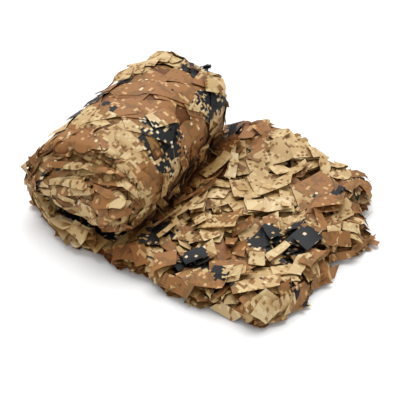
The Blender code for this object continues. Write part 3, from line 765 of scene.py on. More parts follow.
# Leaves placed one by one over the others, in millimetres: middle, heading in degrees, length, width at
# root and tip, how those two ends slant in tenths, kind, and how far its tip and its right-hand side stand
# up. The middle is x and y on the loose end, x and z on the near end, and on the roll thousandths of a turn
# and y.
placed = {
    "loose": (
        (-8, 128, 36, 44, 26, 22, -1, 4, "brown", 2, 3), (24, 138, 58, 40, 24, 28, 3, 2, "print", 3, 2),
        (-18, 148, 112, 32, 20, 14, -4, 6, "dark", 5, 3),
        (6, 152, 104, 30, 22, 16, -4, -6, "brown", 5, 3),
        (30, 154, 118, 32, 18, 12, -3, -5, "brown", 5, 4), (-2, 112, 66, 40, 20, 16, 4, 5, "dark", 5, 3),
        (18, 116, 130, 34, 16, 20, -4, 5, "sand", 6, 3), (44, 126, 96, 38, 18, 22, 4, -5, "brown", 6, 3),
        (14, 99, 119, 50, 14, 5, -4, -4, "straw", 6, 3), (52, 112, 70, 36, 26, 22, 4, 3, "sand", 0, 1),
        (136, 62, -52, 44, 22, 5, 3, -4, "straw", 6, 2), (96, 20, 128, 42, 20, 6, 3, 4, "sand", 6, 3),
        (200, 60, 140, 40, 22, 6, -3, 4, "brown", 6, 3), (120, -22, 62, 40, 20, 5, 3, 5, "dark", 6, 3),
        (-86, -169, -20, 40, 20, 24, 0, 1, "pale", 1, 4),
        (-50, -160, -26, 38, 22, 26, 1, 2, "straw", 1, 4),
        (-112, -168, -15, 40, 20, 22, 0, 2, "straw", 1, 4),
        (262, 102, 4, 34, 20, 5, -3, 4, "brown", 1, 2), (60, 174, 66, 36, 26, 20, 2, 3, "sand", 0, 0),
        (44, 178, 76, 30, 24, 22, 1, -3, "sand", 0, 0), (14, 170, 88, 30, 26, 18, 2, 3, "print", 2, 1),
        (66, 145, 54, 36, 43, 38, 3, -1, "sand", 0, 0), (89, 170, 46, 40, 36, 38, -3, -1, "sand", 0, 1),
        (112, 190, 74, 50, 34, 28, 4, 0, "sand", 0, 0), (157, 109, 70, 69, 44, 61, 4, 4, "print", 0, 1),
        (189, 89, 44, 51, 27, 24, 8, 5, "brown", 1, 1), (12, 20, 46, 24, 26, 18, 0, 6, "sand", 0, 0),
        (16, 96, 4, 24, 16, 26, -10, -7, "sand", 0, 1), (33, 40, 22, 26, 35, 25, 2, -2, "sand", 0, 1),
        (43, 15, 35, 25, 25, 17, 1, 5, "light", 0, 0), (70, 48, 41, 40, 47, 45, 0, -2, "sand", 0, 2),
        (62, 49, 50, 12, 18, 20, -2, 0, "dark", 0, 0), (79, 79, 90, 40, 48, 37, 6, 7, "sand", 1, 2),
        (29, 71, -73, 36, 23, 4, 5, 4, "pale", 3, 2), (106, 85, 59, 52, 26, 30, 10, 4, "sand", 0, 3),
        (87, 119, 66, 28, 24, 18, 1, -5, "straw", 2, 3), (110, 137, 72, 36, 18, 15, 10, -1, "sand", 2, 2),
        (91, -65, 112, 26, 32, 37, 0, -3, "sand", 0, 2), (85, -34, 37, 57, 34, 44, 3, 4, "brown", 0, 4),
        (57, -52, -61, 29, 21, 10, -4, -4, "straw", 2, 0),
        (35, -20, -58, 42, 24, 22, -3, -2, "straw", 3, 2),
        (110, 24, 43, 32, 27, 25, -3, 1, "straw", 0, 2), (137, 47, 38, 43, 25, 26, 0, 0, "pale", 2, 2),
        (156, -43, -140, 28, 35, 38, 1, 0, "print", 0, 0),
        (172, -65, 30, 24, 18, 28, 0, -1, "sand", 1, 1), (130, -85, 53, 21, 10, 27, -3, 0, "dark", 0, 0),
        (143, -60, 115, 38, 23, 12, 7, -2, "brown", 1, 1),
        (126, -64, -55, 24, 30, 3, -5, 0, "brown", 4, 2), (106, -99, 65, 34, 32, 22, 0, 5, "print", 1, 3),
        (156, -3, 127, 62, 26, 28, -6, -2, "print", 0, 2), (174, 34, 63, 37, 41, 21, 1, 4, "print", 0, 2),
        (199, 17, 87, 47, 34, 27, 0, 0, "print", 0, 2), (186, -33, 77, 42, 14, 12, 3, -2, "straw", 2, 2),
        (214, -52, 47, 41, 16, 22, 0, 1, "sand", 0, 1),
        (223, -34, 102, 42, 20, 17, -1, -8, "straw", 3, 2),
        (228, -12, 89, 38, 15, 21, -2, -8, "brown", 0, 3),
        (153, -103, 35, 57, 38, 35, 3, -7, "brown", 0, 3),
        (168, -114, 47, 25, 21, 17, 0, 8, "sand", 3, 2),
        (188, -99, 81, 20, 14, 18, -9, -2, "straw", 1, 2),
        (199, -106, 51, 70, 20, 24, -2, 8, "print", 0, 3),
        (182, -145, -11, 40, 18, 20, 7, 5, "straw", 0, 0),
        (223, -120, -96, 34, 18, 25, -7, -2, "straw", 2, 3),
        (233, -84, 76, 24, 14, 20, 2, 7, "dark", 0, 1), (244, -64, 72, 32, 14, 9, 3, -7, "brown", 2, 1),
        (238, -100, 66, 26, 10, 18, -10, 0, "brown", 0, 1),
        (198, 152, 78, 36, 14, 11, 3, -4, "brown", 2, 3), (238, 81, 43, 26, 14, 13, 5, -2, "straw", 1, 1),
        (224, 56, 59, 22, 14, 19, 1, 7, "straw", 1, 1), (232, 48, 54, 48, 15, 14, 6, -3, "brown", 0, 2),
        (243, 52, 54, 30, 12, 13, -8, 2, "brown", 0, 2),
        (-116, -165, -4, 54, 22, 16, -6, -7, "straw", 1, 2),
        (-76, -162, 13, 50, 29, 18, -10, -6, "straw", 1, 2),
        (4, -158, 42, 36, 14, 29, 1, -3, "brown", 0, 2),
        (-158, -156, 7, 28, 22, 14, -4, -8, "sand", 0, 2),
        (-112, -165, -6, 47, 16, 15, 6, -4, "pale", 0, 3),
        (-85, -160, 7, 62, 15, 18, -8, -6, "pale", 1, 3),
        (-75, -167, -2, 32, 12, 19, -1, 7, "straw", 0, 2),
        (29, -153, -28, 26, 26, 17, 2, 6, "brown", 0, 1),
        (69, -141, -52, 31, 32, 32, -2, -1, "brown", 2, 2),
        (99, -107, -39, 24, 48, 40, -1, -3, "ink", 0, 2), (22, -88, 53, 34, 24, 30, 3, 4, "ink", 0, 1),
        (24, -122, 28, 32, 25, 24, -1, -2, "ink", 0, 1), (33, -19, -57, 51, 22, 22, -6, -4, "pale", 3, 2),
        (59, -50, -42, 27, 20, 18, 0, -5, "straw", 1, 1),
        (8, -30, -49, 35, 18, 16, -6, -8, "straw", 1, 2),
        (88, -65, -34, 28, 28, 26, -3, -1, "print", 0, 1),
        (123, -60, -58, 28, 29, 4, -3, -6, "brown", 2, 2), (149, -113, 28, 32, 18, 29, 2, 1, "ink", 0, 1),
        (168, -111, 56, 33, 17, 7, 3, 8, "straw", 1, 2), (144, -138, 20, 52, 21, 22, 1, 0, "brown", 0, 3),
        (104, -158, 4, 52, 18, 15, 5, 5, "brown", 0, 3), (16, -72, 84, 60, 12, 7, 4, 5, "straw", 2, 3),
        (24, -44, 80, 50, 11, 7, -4, 5, "sand", 3, 2), (14, -16, 88, 55, 12, 7, 4, -5, "brown", 2, 3),
        (34, -92, 84, 44, 10, 7, 4, 5, "straw", 2, 2), (22, 10, 86, 50, 11, 7, 4, 5, "dark", 2, 2),
        (12, 42, 88, 50, 11, 7, 4, -5, "brown", 2, 2), (34, -20, 70, 42, 12, 8, 4, 5, "pale", 3, 2),
        (14, 96, 80, 46, 11, 7, 4, -5, "dark", 2, 2), (229, -122, -58, 30, 40, 11, -6, -3, "straw", 0, 2),
        (245, -78, 54, 32, 20, 30, 8, 9, "brown", 1, 3), (250, -10, 72, 56, 23, 18, 10, 8, "brown", 0, 4),
        (244, 118, 14, 42, 20, 7, 3, -4, "print", 1, 1), (254, 83, 64, 47, 18, 16, 2, 10, "brown", 1, 2),
        (240, 46, 60, 54, 10, 17, 10, -1, "brown", 0, 2), (175, 29, 39, 27, 34, 36, 2, 4, "print", 0, 1),
        (205, 15, -24, 34, 41, 31, -3, -5, "print", 0, 1),
        (155, -3, -36, 49, 28, 21, -6, -4, "print", 0, 1), (136, 44, 43, 43, 22, 21, 1, 2, "pale", 1, 2),
        (111, 22, 32, 28, 21, 20, -3, 1, "straw", 0, 2), (191, 98, 51, 50, 22, 26, 10, 5, "brown", 1, 3),
        (28, 81, 115, 46, 12, 12, -5, 3, "pale", 4, 2), (0, 68, 79, 62, 25, 23, 3, 1, "straw", 2, 2),
    ),
    "end": (
        # The black leaves on the left of the near end are partly print and partly painted shade, dark where
        # the gaps between its folds lie.
        (-145, 55, 39, 26, 18, 14, 8, 8, "black", 0, 0), (-118, 56, 22, 37, 22, 14, 3, -8, "dark", 0, 0),
        (-157, 61, 27, 55, 10, 9, 1, -5, "sand", 2, 5), (-155, 76, 29, 30, 14, 20, 8, 0, "sand", 2, 4),
        (-47, 62, 20, 34, 15, 19, 1, -7, "sand", 0, 5), (-13, 88, 21, 32, 23, 16, 4, 3, "brown", 0, 6),
        (-47, 81, 4, 56, 15, 35, -8, 0, "brown", 0, 9), (-91, 70, -6, 58, 14, 24, 6, 3, "sand", 3, 8),
        (-100, 84, 16, 34, 14, 9, 3, -4, "sand", 0, 6), (-18, 107, 7, 30, 17, 20, -3, -2, "sand", 0, 5),
        (-52, 99, 17, 58, 14, 18, 9, -6, "brown", 0, 8),
        (-101, 91, 24, 70, 12, 14, -2, -1, "print", 0, 7),
        (-45, 114, 15, 46, 11, 10, -2, -8, "sand", 3, 6), (-47, 123, 12, 36, 12, 9, 9, -7, "brown", 2, 7),
        (-89, 112, 29, 85, 12, 12, -2, 4, "sand", 3, 8), (-128, 96, 34, 44, 16, 12, 5, 0, "brown", 0, 7),
        (-161, 92, 51, 70, 24, 22, 6, -1, "brown", 1, 12),
        (-163, 75, 63, 44, 7, 6, -13, -8, "black", 0, 2), (-143, 103, 55, 32, 6, 5, 8, 3, "black", 0, 2),
        (-183, 84, 58, 40, 14, 11, 9, 2, "brown", 1, 6), (-175, 62, 71, 38, 15, 11, 7, 9, "brown", 1, 5),
        (-118, 112, 22, 60, 14, 16, 3, 5, "print", 1, 9), (-66, 124, 14, 50, 13, 15, 2, -5, "sand", 1, 7),
        (-111, 95, 27, 65, 13, 13, 4, 2, "sand", 1, 8), (-94, 87, 21, 84, 15, 15, 5, -7, "print", 1, 9),
        (-36, 104, 1, 50, 12, 16, -2, 3, "sand", 1, 8), (-23, 78, 49, 50, 16, 18, 6, 3, "brown", 1, 8),
        (-169, 42, -48, 24, 10, 9, 7, 10, "black", 0, 2),
        (-133, 53, -32, 28, 10, 16, 10, 3, "black", 0, 2),
        (-31, 95, 20, 43, 24, 22, 2, 0, "print", 1, 10), (-94, 96, 17, 49, 14, 18, 9, -8, "print", 1, 7),
        (-66, 74, -4, 40, 16, 22, 9, -6, "print", 1, 7),
    ),
    "roll": (
        (224, -115, 26, 70, 26, 20, 3, -6, "print", 0, 2),
        (341, -4, 77, 42, 27, 30, 1, -4, "light", 1, 1), (300, 138, 170, 60, 34, 30, 3, 2, "brown", 1, 1),
        (225, 136, 178, 56, 34, 26, 5, 2, "sand", 0, 0),
        (195, 118, -150, 50, 34, 16, 4, -4, "sand", 3, 0),
        (172, 90, -143, 50, 34, 10, 4, -6, "sand", 5, 0),
        (155, 66, -150, 46, 34, 10, 0, 5, "print", 5, 0),
        (150, 36, -143, 40, 30, 16, 2, 3, "black", 3, 0), (130, 4, -160, 40, 32, 18, 2, 3, "print", 3, 0),
        (392, 132, 80, 40, 34, 26, 1, 4, "sand", 4, 0), (378, 138, 105, 30, 24, 4, 2, 4, "black", 5, 0),
        (420, 118, 60, 36, 26, 18, 1, 4, "black", 4, 0), (134, 44, -140, 46, 38, 14, 3, 4, "sand", 3, 0),
        (134, 8, -150, 36, 32, 14, 3, 2, "print", 3, 0),
        (130, -22, -160, 32, 28, 16, 3, 2, "black", 3, 0),
        (126, -58, -150, 32, 28, 14, 3, 2, "black", 3, 0),
        (114, -92, -150, 38, 32, 14, 2, 3, "sand", 3, 0),
        (26, -138, -100, 36, 28, 12, 2, 2, "sand", 4, 3), (262, 124, 138, 30, 13, 6, 9, 3, "black", 4, 1),
        (300, 140, 60, 44, 36, 30, 2, 3, "sand", 6, 0), (287, 120, 134, 30, 11, 6, 2, 5, "black", 4, 1),
        (312, 128, 118, 26, 12, 4, 9, 3, "black", 5, 2), (300, 132, 60, 24, 10, 5, 2, 3, "black", 4, 2),
        (352, 118, 20, 44, 30, 26, 2, 4, "sand", 3, 1), (372, 120, 60, 34, 22, 30, 2, 2, "sand", 2, 1),
    ),
}


def headed(first, second, degrees):
    angle = math.radians(degrees)
    return first * math.cos(angle) + second * math.sin(angle)


def rollWay(place, degrees):  # 0 runs on round the turn, 90 along +Y
    return headed(roundWay(place.y, turnAt(place)[0]), yWay, degrees)


def looseWay(place, degrees):  # 0 runs along +X, 90 along +Y
    return headed(xWay, yWay, degrees)


def endWay(place, degrees):  # 0 runs along +X, 90 up
    return headed(xWay, up, degrees)


ways = {"roll": rollWay, "loose": looseWay, "end": endWay, **{name: looseWay for name in levels}}
spotAt = {"roll": rollSpot, "loose": looseSpot, "end": endSpot}


def placeLeaves(where, group):
    draw = random.Random(77)
    laid = 0
    for a, b, degrees, length, rootWidth, tipWidth, rootSlant, tipSlant, kind, lift, side in placed[where]:
        tree, _ = skins[where]
        middle, face, _, _ = tree.find_nearest(spotAt[where](a / 1000, b / 1000))
        aim = ways[where](middle, degrees)
        aim = (aim - face * aim.dot(face)).normalized()
        root, back = walk(tree, middle, aim, -length / 2000)[-1]
        width = max(rootWidth, tipWidth)
        atRoot, atTip = rootWidth / width, tipWidth / width
        cut, stiff, folds = ((0, atRoot), (1, atTip)), 0.70, (-0.10, 0.08)
        if where == "end":  # its ends run out to points
            cut = ((0, 0.7 * atRoot), (0.3, atRoot), (0.85, atTip), (1, 0.35 * atTip))
            width, side, stiff, folds = 0.75 * width, 0.5 * side, 0.15, (-0.30, -0.10)
        elif where == "roll":
            stiff = 0.10 if lift < 5 else 0.4
        leaf = {
            "length": length / 1000, "width": width / 1000, "cut": cut,
            "skewRoot": rootSlant / 10, "skewTip": tipSlant / 10, "lift": lift / 1000, "hem": side / 1000,
            "fold": draw.uniform(*folds), "twist": draw.uniform(-0.10, 0.10),
            "curl": draw.uniform(0.0, 0.45) if where == "loose" else 0.0,
            "stiff": stiff, "clear": 0.0009, "tone": kinds[kind], "printTurn": 0.0,
            "printShift": (draw.uniform(-0.002, 0.002), draw.uniform(-0.002, 0.002)),
        }
        laid += layLeaf(where, group, root, -back, leaf, 0.022, stand=0.05, beyond=0.012) is not None
    print("placed on", where, laid, "of", len(placed[where]))


def coverBed(where, group, spots, bed, count, headings, spread, seed, limit, others=(), tries=5):
    # Lays leaves one after another, each where the fewest lie so far.
    draw = random.Random(seed)
    covered = [0.0] * len(spots)
    laid = 0
    for _ in range(count):
        order = sorted(range(len(spots)), key=lambda i: covered[i] + 0.8 * draw.random())
        for i in order[:tries]:
            leaf = drawLeaf(draw, bed)
            aim = ways[where](spots[i], draw.choice(headings) + draw.uniform(-spread, spread))
            anchor = spots[i] - aim * leaf["length"] * 0.5
            made = layLeaf(where, group, anchor, aim, leaf, limit, others, bed["stand"])
            if made is None:
                covered[i] += 0.15
                continue
            laid += 1
            for k, spot in enumerate(spots):
                if (spot - made["centre"]).length < 0.75 * made["radius"]:
                    covered[k] += 1
            break
    return laid


def edgeLeaves(where, group, roots, bed, seed, limit=0.012, others=(), spread=35, tries=4):
    # Leaves that start at an edge and point out over it. roots holds places and headings in degrees.
    draw = random.Random(seed)
    laid = 0
    for place, heading in roots:
        for _ in range(tries):
            aim = ways[where](place, heading + draw.uniform(-spread, spread))
            if layLeaf(where, group, place, aim, drawLeaf(draw, bed), limit, others, bed["stand"]):
                laid += 1
                break
    return laid


looseLaid = {
    # how many leaves at its edges, between its layers and in the crease, and from where to where: along x
    # or y, and at the tip by the share of the way across
    "near": (70, -0.200, 0.226), "tip": (56, 0, 1), "far": (44, -0.030, 0.220),
    "crease": (60, -0.150, 0.190),
    "layerNear": (34, -0.200, 0.230), "layerTip": (22, -0.135, 0.180), "layerFar": (30, -0.110, 0.225),
    # how far in from the edge they start
    "nearIn": (0.020, 0.042), "tipIn": (0.024, 0.042), "farIn": (0.012, 0.032),
    "layerNearIn": (0.010, 0.026), "layerTipIn": (0.012, 0.030), "layerFarIn": (0.008, 0.022),
    "layerLimit": 0.004,  # how high they may lie on each other between the layers
    # over it: how many, their headings and those headings' spread in degrees, seed, and how high they may
    # lie on each other
    "small": (210, (68, 248, -38, 142), 36, 21, 0.009),
    "broad": (80, (62, 242, 30, 210), 30, 22, 0.011),
    "curled": (26, (70, 250, -40, 140), 40, 23, 0.016),
    "spotsX": (-0.10, 0.252, 36), "spotsY": (-0.165, 0.196, 36),  # where they may start: from, to, how many
    "clearOfTip": 0.026,
}


def layLoose():
    draw = random.Random(5)
    nearRoots, tipRoots, farRoots, spots, crease = [], [], [], [], []
    for x in scattered(*looseLaid["near"]):
        y = rowAt(loose["strips"], x)[1] + draw.uniform(*looseLaid["nearIn"]) + cornerInset(x)
        nearRoots.append((looseSpot(x, y), -88 + 20 * draw.uniform(-1, 1)))
    for across in scattered(*looseLaid["tip"]):
        x = rowAt(loose["tips"], across)[2] - draw.uniform(*looseLaid["tipIn"])
        tipRoots.append((looseSpot(x, blend(-0.138, 0.186, across)), 5 + 30 * (across - 0.5)))
    for x in scattered(*looseLaid["far"]):
        farRoots.append((looseSpot(x, rowAt(loose["strips"], x)[2] - draw.uniform(*looseLaid["farIn"])), 85))
    laid = 0
    for k, (name, level) in enumerate(levels.items()):
        roots = []
        for x in scattered(*looseLaid["layerNear"], 0.17 * k):
            y = rowAt(loose["strips"], x)[1] + draw.uniform(*looseLaid["layerNearIn"]) + cornerInset(x)
            roots.append((Vector((x, y, level * stackMean)), -88 + 30 * draw.uniform(-1, 1)))
        for y in scattered(*looseLaid["layerTip"], 0.17 * k):
            x = rowAt(loose["tips"], (y + 0.14) / 0.33)[2] - draw.uniform(*looseLaid["layerTipIn"])
            roots.append((Vector((x, y, level * stackMean)), 40 * draw.uniform(-1, 1)))
        laid += edgeLeaves(name, "looseEdgeLeaves", roots, layerBed, 14 + k, looseLaid["layerLimit"])
    for roots, bed, seed in ((nearRoots, edgeBed, 11), (tipRoots, tipBed, 12), (farRoots, edgeBed, 13)):
        laid += edgeLeaves("loose", "looseEdgeLeaves", roots, bed, seed)
    for x in evenly(*looseLaid["spotsX"]):
        strip = rowAt(loose["strips"], x)
        for y in evenly(*looseLaid["spotsY"]):
            across, spot = acrossAt(strip, y), looseSpot(x, y)
            if 0.07 < across < 0.93 and x < rowAt(loose["tips"], across)[2] - looseLaid["clearOfTip"]:
                if not insideRoll(spot + up * 0.004, 0.004):
                    spots.append(spot)
    covered = coverBed("loose", "looseLeaves", spots, looseBed, *looseLaid["small"])
    covered += coverBed("loose", "looseLeaves", spots, sheetBed, *looseLaid["broad"])
    placeLeaves("loose", "looseLeaves")
    covered += coverBed("loose", "looseLeaves", spots, curlBed, *looseLaid["curled"])
    for y in scattered(*looseLaid["crease"]):  # small leaves down in the crease
        x = ovalPoint(y, 0.5, 0.0).x + draw.uniform(-0.012, 0.022)
        crease.append((looseSpot(x, y), draw.choice((80, -100, 20, 140))))
    covered += edgeLeaves("loose", "looseLeaves", crease, flankBed, 24, spread=40)
    for k, (name, level) in enumerate(levels.items()):  # the far edges of the layers
        roots = []
        for x in scattered(*looseLaid["layerFar"], 0.23 * k):
            y = rowAt(loose["strips"], x)[2] - draw.uniform(*looseLaid["layerFarIn"])
            roots.append((Vector((x, y, level * stackMean)), 88 + 25 * draw.uniform(-1, 1)))
        laid += edgeLeaves(name, "looseEdgeLeaves", roots, layerBed, 51 + k, looseLaid["layerLimit"])
    return laid, covered


def endHeading(x, z):  # the folds of the near end climb at both its sides, and sag at the lip
    climb = blend(-6, 24, smooth((z - 0.060) / 0.050))
    right = 42 * smooth((x + 0.055) / 0.040) * smooth((0.110 - z) / 0.03)
    return climb + right + 34 * smooth((-0.155 - x) / 0.030)


rollLaid = {
    # how many leaves at its rims and on the flank over the crease, and from where to where: by the share of
    # a turn, and on the flank along y
    "far": (26, -0.05, 0.56), "near": (26, -0.02, 0.54), "flank": (44, -0.105, 0.125),
    "farIn": (0.004, 0.02), "nearIn": (0.014, 0.034),  # how far in from the rim they start
    # over it: how many, their headings and those headings' spread in degrees, seed, how high they may lie on
    # each other, and what they keep clear of
    "broad": (66, (20, 200, 70, -110), 40, 41, 0.004, ("loose",)),
    "spotsTurn": (-0.22, 0.60, 44), "spotsAlong": 28,
    "hungZ": (0.050, 0.140, 110),  # the long leaves over the near end: from, to, how many
    "hungX": (-0.185, -0.015),
    "farTurns": 26,  # how many lie on the turns of the far end
}


def layRoll():
    draw, endDraw, farDraw = random.Random(6), random.Random(33), random.Random(34)
    farRoots, spots, nearRoots, flankRoots = [], [], [], []
    for turn in scattered(*rollLaid["far"]):
        y = farEndY(max(0, turn), 0) - draw.uniform(*rollLaid["farIn"])
        farRoots.append((ovalPoint(y, turn, dipOf(turn)), 90))
    laid = edgeLeaves("roll", "rollLeaves", farRoots, rimBed, 31, spread=40)
    for turn in evenly(*rollLaid["spotsTurn"]):
        near = nearEndY(turn, 0) if turn >= 0 else -0.158
        far = farEndY(max(0, turn), 0)
        spots += [rollSpot(turn, y) for y in evenly(near + 0.004, far - 0.004, rollLaid["spotsAlong"])]
    covered = coverBed("roll", "rollLeaves", spots, rollBed, *rollLaid["broad"])
    for turn in scattered(*rollLaid["near"]):
        y = nearEndY(max(0, turn), 0) + draw.uniform(*rollLaid["nearIn"])
        nearRoots.append((ovalPoint(y, turn, dipOf(turn)), -90))
    laid += edgeLeaves("roll", "rollEndLeaves", nearRoots, rimBed, 32, limit=0.006)
    for y in scattered(*rollLaid["flank"]):  # small leaves that come loose on the flank above the crease
        turn = 0.61 - 0.10 * draw.random()
        flankRoots.append((rollSpot(turn, y), draw.choice((0, 60, -70, 170))))
    laid += edgeLeaves("roll", "rollLeaves", flankRoots, flankBed, 35, limit=0.008, others=("loose",))
    face = 0
    for z in evenly(*rollLaid["hungZ"]):  # long leaves hang across the near end, the lowest first
        x = endDraw.uniform(*rollLaid["hungX"])
        leaf = drawLeaf(endDraw, endBed)
        leaf["hem"], leaf["fold"] = endDraw.uniform(0.0005, 0.004), endDraw.uniform(-0.3, 0.0)
        aim = endWay(None, endHeading(x, z) + endDraw.uniform(-12, 12))
        anchor = endSpot(x, z) - aim * leaf["length"] * 0.5
        face += layLeaf("end", "rollEndLeaves", anchor, aim, leaf, 0.007) is not None
    placeLeaves("end", "rollEndLeaves")
    placeLeaves("roll", "rollLeaves")
    for _ in range(rollLaid["farTurns"]):  # round the turns of the far end
        turn, depth = farDraw.uniform(0.0, 0.55), farDraw.uniform(0.006, 0.030)
        place = ovalPoint(farEndY(turn, depth) + 0.001, turn, depth)
        aim = rollWay(place, farDraw.uniform(-30, 30))
        layLeaf("roll", "rollEndLeaves", place, aim, drawLeaf(farDraw, rimBed), 0.009)
    return laid, covered, face


gaps = {  # how leaves shade what lies between them, and how dark the crease between roll and loose end is
    "reach": 0.085, "start": 0.0009, "rays": 14, "spiral": 2.39996, "darken": 0.60, "gain": 1.10,
    "crease": 0.50, "creaseHeight": 0.038, "creaseFromX": -0.060, "creaseY": (-0.175, 0.205),
}


def creaseLight(place, onRoll):  # 1 in the open, less down in the crease beside the roll
    low, high = gaps["creaseY"]
    if place.x < gaps["creaseFromX"] or not low < place.y < high:
        return 1.0
    if onRoll:
        away = place.z - looseSurface(place.x, place.y)
    else:
        away = 0.7 * (turnAt(place)[1] - 1) * roll["radius"]
    return blend(gaps["crease"], 1.0, smooth(away / gaps["creaseHeight"]))


def shadeGaps(pieces):  # paints into the cloth's tone how much light comes in between the leaves: painted shade in the gaps and the crease
    points, quads = [], []
    for piece in pieces:
        first = len(points)
        points += [v.co.copy() for v in piece.data.vertices]
        quads += [tuple(first + k for k in face.vertices) for face in piece.data.polygons]
    tree = BVHTree.FromPolygons(points, quads)
    sky = []
    for i in range(gaps["rays"]):
        high = math.sqrt(1 - (i + 0.5) / gaps["rays"])
        turned = i * gaps["spiral"]
        flat = math.sqrt(1 - high * high)
        sky.append((flat * math.cos(turned), flat * math.sin(turned), high))
    reach = gaps["reach"]
    for piece in pieces:
        tones = piece.data.attributes["toneAndShade"].data
        for vertex in piece.data.vertices:
            out = vertex.normal
            if out.z < -0.2 and piece != netCloth:  # a leaf that hangs over is lit from its other side
                out = -out
            side = out.orthogonal().normalized()
            other = out.cross(side)
            start = vertex.co + out * gaps["start"]
            closed = 0.0
            for x, y, z in sky:
                hit = tree.ray_cast(start, side * x + other * y + out * z, reach)
                if hit[0] is not None:
                    closed += (1 - hit[3] / reach) ** 2
            light = 1 - gaps["darken"] * min(1.0, gaps["gain"] * closed / gaps["rays"])
            if piece != netCloth:
                light *= creaseLight(vertex.co, piece.name.startswith("roll"))
            tone = tones[vertex.index].color
            tones[vertex.index].color = (tone[0] * light, tone[1], tone[2], 1.0)


def joinLeaves(name, leaves):
    points, quads, flat, tones = [], [], [], []
    for leaf in leaves:
        first = len(points)
        points += leaf["points"]
        quads += [tuple(first + k for k in quad) for quad in leaf["quads"]]
        flat += list(leaf["flat"])
        bright, brown, black = leaf["tone"]
        tones += [((0.75 + 0.5 * bright) / brightest, brown, black, 1.0)] * len(leaf["points"])
    return addPiece(name, points, quads, flat, tones)


threads = {  # loose strings of the carrier mesh
    "radius": 0.0003, "sides": 5, "steps": 6,
    "routes": (  # in millimetres
        ((-14, -20, 124), (-2, -34, 116), (4, -52, 112), (0, -70, 111)),
        ((6, -74, 100), (8, -62, 84), (4, -50, 70), (8, -40, 56)),
        ((10, -104, 92), (10, -94, 76), (12, -84, 58), (20, -78, 44)),
        ((-8, 20, 96), (4, 30, 80), (2, 44, 66), (14, 50, 46)),
        ((-12, 54, 92), (2, 62, 74), (8, 76, 58), (24, 82, 44)),
        ((-16, 98, 90), (-2, 104, 70), (10, 118, 62), (22, 120, 50)),
        ((26, -60, 36), (46, -76, 40), (58, -92, 37), (80, -96, 34)),
        ((20, -100, 34), (34, -112, 37), (44, -104, 36), (52, -118, 33)),
        ((238, 108, 30), (246, 112, 36), (250, 118, 42), (252, 124, 46)),
        ((236, 38, 26), (252, 36, 22), (262, 44, 18), (266, 52, 20)),
        ((40, 60, 44), (52, 74, 45), (70, 80, 46), (84, 94, 44)),
    ),
}


def smoothPath(marks, steps):  # a curve through all the marks
    marks = [2 * marks[0] - marks[1], *marks, 2 * marks[-1] - marks[-2]]
    path = []
    for a, b, c, d in zip(marks, marks[1:], marks[2:], marks[3:]):
        for t in [i / steps for i in range(steps)]:
            bent = t * (2 * a - 5 * b + 4 * c - d + t * (3 * (b - c) + d - a))
            path.append(b + 0.5 * t * (c - a + bent))
    return path + [marks[-2]]


def buildThreads():
    points, quads, sides = [], [], threads["sides"]
    for route in threads["routes"]:
        path = smoothPath([Vector(mark) / 1000 for mark in route], threads["steps"])
        start = len(points)
        for i, place in enumerate(path):
            way = (path[min(i + 1, len(path) - 1)] - path[max(i - 1, 0)]).normalized()
            side = way.orthogonal().normalized()
            other = way.cross(side)
            for k in range(sides):
                angle = math.tau * k / sides
                points.append(place + threads["radius"] * (side * math.cos(angle) + other * math.sin(angle)))
            for k in range(sides if i else 0):
                first, beside = len(points) - 2 * sides, (k + 1) % sides
                quads.append((first + k, first + beside, first + sides + beside, first + sides + k))
        last = len(points) - 1
        quads += [tuple(last - k for k in range(sides)), tuple(start + k for k in range(sides))]
    return addPiece("threads", points, quads)


def linear(code):  # an sRGB hex value as linear colour
    parts = [int(code[i:i + 2], 16) / 255 for i in (1, 3, 5)]
    return [c / 12.92 if c <= 0.04045 else ((c + 0.055) / 1.055) ** 2.4 for c in parts] + [1.0]


def addNode(tree, kind, *values, output=0, **named):
    # Adds a node and gives one of its outputs. Values and links go to its sockets in turn. A name with a
    # capital is a socket too, and one without is a setting.
    node = tree.nodes.new("ShaderNode" + kind)
    for name in [name for name in named if name[0].islower()]:
        setattr(node, name, named.pop(name))
    filled = [*zip(node.inputs, values), *((node.inputs[name], value) for name, value in named.items())]
    for socket, value in filled:
        if isinstance(value, bpy.types.NodeSocket):
            tree.links.new(value, socket)
        elif value is not None:
            socket.default_value = linear(value) if isinstance(value, str) else value
    return node.outputs[output]


def newMaterial(name, finish):  # finish holds the values of the shader's own sockets
    material = bpy.data.materials.new(name)
    material.use_nodes = True
    shader = material.node_tree.nodes["Principled BSDF"]
    for socket, value in finish.items():
        shader.inputs[socket].default_value = linear(value) if isinstance(value, str) else value
    return material


